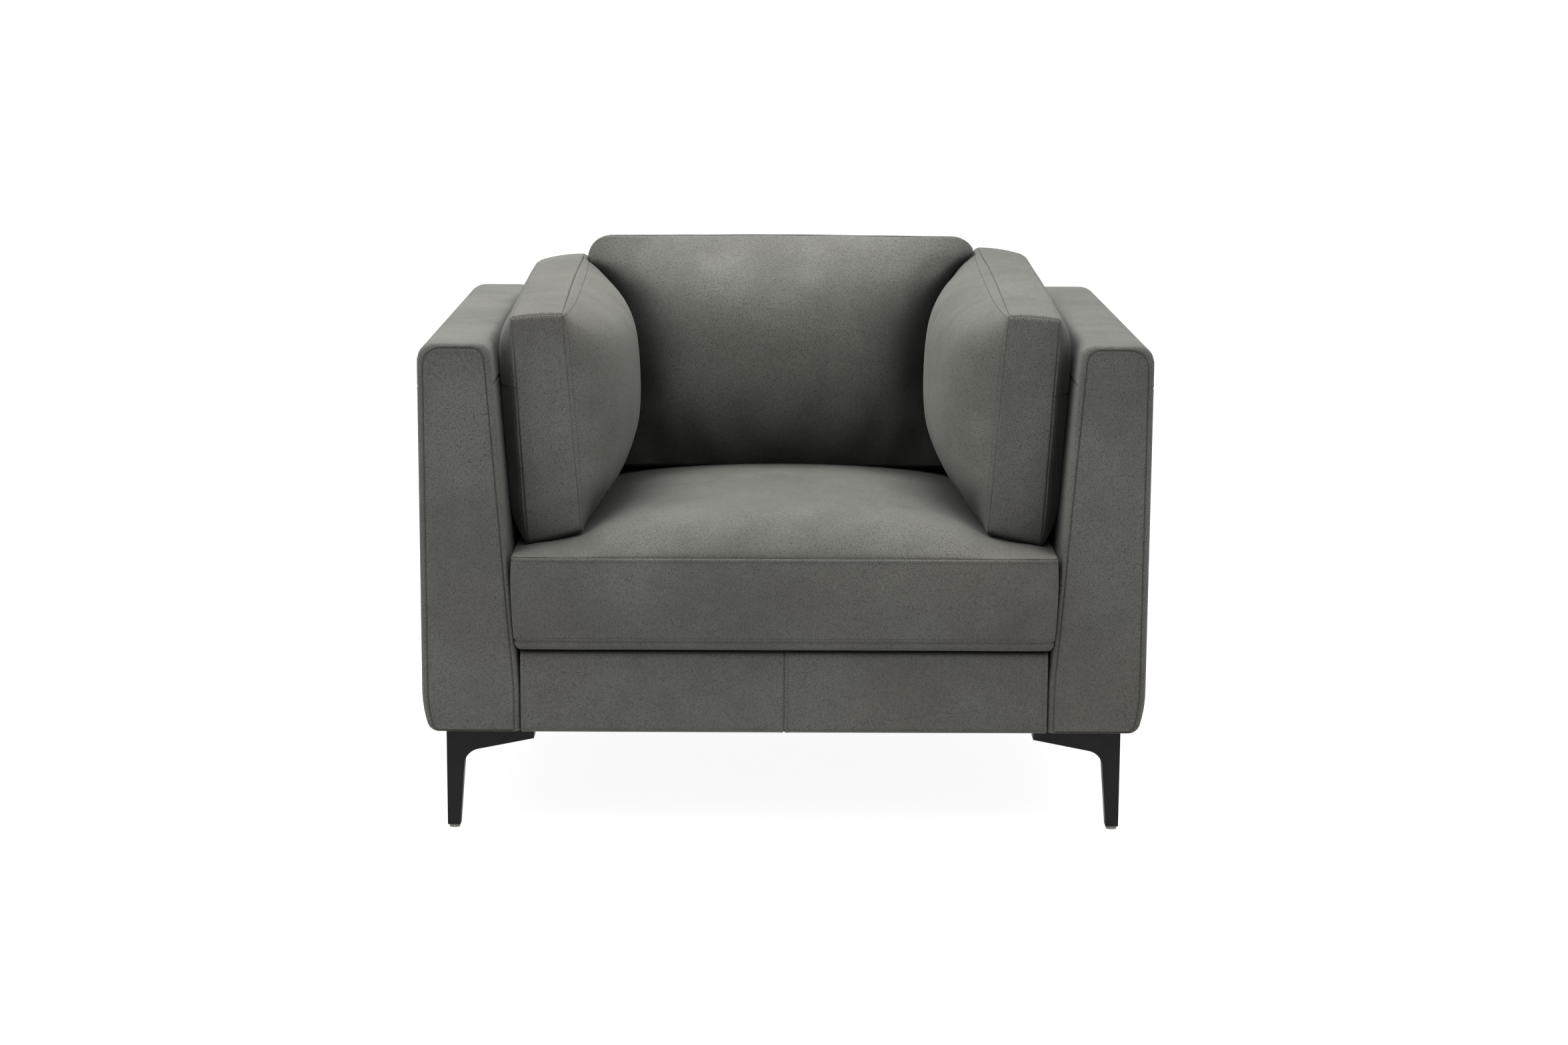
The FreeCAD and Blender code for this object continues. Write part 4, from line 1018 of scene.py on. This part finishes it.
def plump(t, power):
    """From 0 at both ends to 1 in the middle, rising more steeply for a higher power."""
    return (1 - (1 - t) ** power) * (1 - t ** power)


def eased(t):
    t = np.clip(t, 0, 1)
    return t * t * (3 - 2 * t)


ARM_CUSHION_LEAN = math.radians(3.4)
SIDE_FOOT = Vector((378 * MM, SIDE_LOW.y, 421 * MM))
SIDE_LENGTH = 640 * MM
SIDE_THICK = 78 * MM
SIDE_FLOOR_RISE = 15 * MM
SIDE_RADII = [10 * MM, 16 * MM, 42 * MM, 7 * MM]


def outer_crown(u, v):
    return 26 * MM * plump(u, 30.0) * plump(v, 16.0)


def leaned_in(side, amount):
    """A press that leans the upper rear of an arm cushion towards the middle of the seat."""
    def press(points):
        moved = points.copy()
        back_share = np.clip((points[:, 1] - SIDE_FOOT.y) / SIDE_LENGTH, 0, 1)
        up_share = np.clip((points[:, 2] - SIDE_FOOT.z) / SIDE_LENGTH, 0, 1)
        moved[:, 0] -= side * amount * back_share * up_share
        return moved

    return press


def arm_cushion(label, side, front_height, rear_height, inner_height, lean=0.0):
    up = (side * math.sin(ARM_CUSHION_LEAN), 0.0, math.cos(ARM_CUSHION_LEAN))
    out = (side * math.cos(ARM_CUSHION_LEAN), 0.0, -math.sin(ARM_CUSHION_LEAN))
    outer = Outline([(0, 0), (SIDE_LENGTH, 0), (SIDE_LENGTH, rear_height - 5 * MM),
                     (0, front_height - 4 * MM)], SIDE_RADII, [0, 2 * MM, 5 * MM, 2 * MM])
    inner = Outline([(0, SIDE_FLOOR_RISE), (SIDE_LENGTH, SIDE_FLOOR_RISE),
                     (SIDE_LENGTH, rear_height + 2 * MM), (0, front_height - 3 * MM)],
                    SIDE_RADII, [0, 2 * MM, 6 * MM, 0])

    def inner_crown(u, v):
        """Fullest towards the front; the back cushion holds the rear in."""
        held = 0.28 * eased((u - 0.5) / 0.35) * (1 - 0.35 * v)
        full = inner_height * plump(u, 8.0) * (1 - held)
        return full * (1 - (1 - v) ** 5.5) * (1 - v ** 12) + 6 * MM * (0.5 - v)

    name = label + "_arm_cushion"
    cushion = BoxedCushion(
        name + "_leather", name, (side * SIDE_FOOT.x, SIDE_FOOT.y, SIDE_FOOT.z),
        [(0, 1, 0), up, out], (outer, inner),
        (0.0, -SIDE_THICK), (outer_crown, inner_crown),
        [0.0, 2 * MM, 3 * MM, 3 * MM], (3 * MM, 8 * MM, 1.0 * MM), zip_side=0,
        zip_reach=278 * MM, panel_stitches=True, corner_seams=(3,), panel_seam=243 * MM)
    piece = cushion.make(leaned_in(side, lean), room_for([arms[label]], (side, 0, 0)),
                         room_for([back], (0, 1, 0)))
    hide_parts(name + "_cover", name + "_core")
    return piece


left_cushion = arm_cushion("left", -1, 343 * MM, 370 * MM, 83 * MM)
right_cushion = arm_cushion("right", 1, 343 * MM, 384 * MM, 87 * MM, 15 * MM)

REST_LEAN = math.radians(12)
REST_FOOT = Vector((0, 62.2 * MM, 475.5 * MM))
REST_DEPTH = 160 * MM
REST_FRONT_SET = 56 * MM
REST_TALL = 374 * MM
REST_HALF = 291 * MM
REST_SPREAD = 27 * MM


def rest_crown(u, v):
    """Full above the middle, so that the lower half recedes and the top turns back."""
    return 95 * MM * plump(u, 5.0) * (1 - (1 - v) ** 1.9) * (1 - v ** 4) / 0.718


def rest_outline(top, spread, corner):
    return Outline([(-REST_HALF, 0), (REST_HALF, 0), (REST_HALF + spread - 5 * MM, top),
                    (-REST_HALF - spread - 2 * MM, top)],
                   [24 * MM, 24 * MM, corner, corner], [0, -2 * MM, 2 * MM, -2 * MM])


def rest_half(z):
    return REST_HALF + (REST_SPREAD + 2 * MM) * (z - REST_FOOT.z) / REST_TALL


rest = BoxedCushion(
    "back_cushion_leather", "back_cushion", REST_FOOT,
    [(1, 0, 0), (0, math.sin(REST_LEAN), math.cos(REST_LEAN)),
     (0, -math.cos(REST_LEAN), math.sin(REST_LEAN))],
    (rest_outline(REST_TALL, REST_SPREAD, 37 * MM),
     rest_outline(REST_TALL - 5 * MM, REST_SPREAD - 2 * MM, 40 * MM)),
    (-REST_FRONT_SET, -REST_DEPTH), (rest_crown, dome(12 * MM)),
    [0.0, 3 * MM, 4 * MM, 3 * MM], (8 * MM, 5 * MM, 1.2 * MM), zip_side=0, zip_reach=238 * MM,
    zip_share=(REST_DEPTH / 2 - REST_FRONT_SET) / (REST_DEPTH - REST_FRONT_SET))
rest_piece = rest.make(narrowed_by(left_cushion, -1, rest_half),
                       narrowed_by(right_cushion, 1, rest_half), room_for([back], (0, 1, 0)))
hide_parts("back_cushion_cover", "back_cushion_core")

SEAT_SEAM = 419 * MM
SEAT_ROLL = 15 * MM
SEAT_NOSE = 95 * MM
SEAT_DEPTH = SEAT_HIGH.y - SEAT_LOW.y
SEAT_FLOOR_WIDE = 792 * MM
SEAT_FLOOR_LONG = 737 * MM
SEAT_BOXING = 125.6 * MM
SEAT_ZIP_DROP = 70.3 * MM

# Distances in mm from the middle of the seat, and the top's height there over its seam.
SEAT_ACROSS = [0, 60, 120, 160, 200, 225, 250, 273, 292, 320, 396]
SEAT_HEIGHT = [58.5, 57.4, 54.0, 49.9, 44.0, 39.0, 32.5, 24.0, 13.0, 7, 0]


def seat_crown(u, v):
    """Full across the middle, low under the arm cushions, and rounded over at the front."""
    x = np.abs(u - 0.5) * 2 * SEAT_HIGH.x / MM
    across = np.interp(x, SEAT_ACROSS, SEAT_HEIGHT) * MM
    nose = 1 - (1 - np.minimum(v * SEAT_DEPTH / SEAT_NOSE, 1)) ** 4
    return across * (0.85 * nose + 0.15 * (1 - (1 - v) ** 4)) * (1 - v ** 4)


def seat_floor(u, v):
    """The rolled strip under the bottom seam."""
    edge = edge_distance(u, v, SEAT_FLOOR_WIDE, SEAT_FLOOR_LONG)
    share = np.clip(edge / (SEAT_ROLL * 1.2), 0, 1)
    return SEAT_ROLL * np.sqrt(1 - (1 - share) ** 2)


def seat_outline(half, front, rear):
    return Outline([(-half, front), (half, front), (half, rear), (-half, rear)],
                   [16 * MM, 16 * MM, 18 * MM, 18 * MM], [1.5 * MM, 0, 0, 0])


seat = BoxedCushion(
    "seat_cushion_leather", "seat_cushion", (0, 0, 0), [(1, 0, 0), (0, 1, 0), (0, 0, 1)],
    (seat_outline(SEAT_HIGH.x, SEAT_LOW.y + 4 * MM, SEAT_HIGH.y),
     seat_outline(SEAT_HIGH.x - 1.5 * MM, SEAT_LOW.y + 9 * MM, SEAT_HIGH.y)),
    (SEAT_SEAM, SEAT_LOW.z + SEAT_ROLL), (seat_crown, seat_floor),
    [4 * MM, 1 * MM, 0.0, 1 * MM], (9 * MM, 0.5 * MM, 2 * MM), zip_side=2, zip_reach=318 * MM,
    zip_share=SEAT_ZIP_DROP / SEAT_BOXING, boxing_stitches=True)
seat_piece = seat.make(room_for([arms["right"]], (1, 0, 0), 30 * MM),
                       room_for([arms["left"]], (-1, 0, 0), 30 * MM),
                       room_for([left_cushion, right_cushion, rest_piece], (0, 0, 1), 90 * MM))
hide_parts("seat_cushion_cover", "seat_cushion_core")

# ---- The carried-over nodes

slots = {entry["node"]: entry["material_slot"] for entry in frame["record"]["subparts"]}
for node, piece in frame["nodes"].items():
    piece.data.materials.clear()
    piece.data.materials.append(SLOT_MATERIALS[slots[node]])

# ---- Floor, light and camera

FLOOR_HALF = 60
floor_mesh = bpy.data.meshes.new("floor")
floor_mesh.from_pydata([(x * FLOOR_HALF, y * FLOOR_HALF, 0)
                        for x, y in ((-1, -1), (1, -1), (1, 1), (-1, 1))], [], [(0, 1, 2, 3)])
floor = add_object("floor", floor_mesh)
pale = material_nodes("pale_floor")
floor_mesh.materials.append(pale.finish(
    pale.blend(pale.noise(0.7, 2.0, 0.5), 0.3, 0.7, (0.20, 0.20, 0.20), (0.22, 0.22, 0.22)), 0.95,
    Specular_IOR_Level=0.1, Emission_Color=(1.0, 1.0, 1.0), Emission_Strength=0.93))
floor.visible_diffuse = False

LIGHT_PLACE = Vector((-0.8, 0.0, 3.0))
LIGHT_TARGET = Vector((0, -0.05, 0.4))
light_data = bpy.data.lights.new("overhead", "AREA")
light_data.shape = "RECTANGLE"
light_data.size = 2.6
light_data.size_y = 1.8
light_data.energy = 54
light = add_object("overhead", light_data)
light.location = LIGHT_PLACE
light.rotation_euler = (LIGHT_TARGET - LIGHT_PLACE).to_track_quat("-Z", "Y").to_euler()

# White behind the object, and a soft dome that is brightest overhead with a bounce from below.
scene = bpy.context.scene
scene.world = bpy.data.worlds.new("studio")
sky = Nodes(scene.world)
direction = sky.add("ShaderNodeTexCoord").outputs["Generated"]
height = sky.add("ShaderNodeSeparateXYZ", {0: direction}).outputs["Z"]
strength = sky.calculate("ADD", sky.remap(height, 0.10, 1.0, 0.08, 1.95),
                         sky.remap(height, -0.12, 0.0, 0.33, 0.0, "LINEAR"))
dome_light = sky.tree.nodes["Background"]
sky.feed(dome_light.inputs["Strength"], strength)
sky.feed(dome_light.inputs["Color"], (0.98, 0.99, 1.0))
white = sky.add("ShaderNodeBackground", {"Color": (1.0, 1.0, 1.0)})
seen = sky.add("ShaderNodeLightPath").outputs["Is Camera Ray"]
switch = sky.add("ShaderNodeMixShader", {0: seen, 1: dome_light.outputs[0], 2: white.outputs[0]})
sky.feed(sky.tree.nodes["World Output"].inputs["Surface"], switch.outputs[0])

pitch = 0.182314
yaw = -0.006867
roll = 0.005354
forward = Vector((-math.sin(yaw) * math.cos(pitch), math.cos(yaw) * math.cos(pitch),
                  -math.sin(pitch)))
level = Vector((math.cos(yaw), math.sin(yaw), 0))
upright = level.cross(forward)
right = math.cos(roll) * level + math.sin(roll) * upright
top = -math.sin(roll) * level + math.cos(roll) * upright
turn = Matrix((right, top, -forward)).transposed()
camera_data = bpy.data.cameras.new("camera")
camera_data.lens = 70
camera_data.sensor_width = 36
camera = add_object("camera", camera_data)
camera.matrix_world = Matrix.Translation((-0.0313, FRONT - 4.3401, 1.2692)) @ turn.to_4x4()
scene.camera = camera
scene.view_settings.view_transform = "Standard"
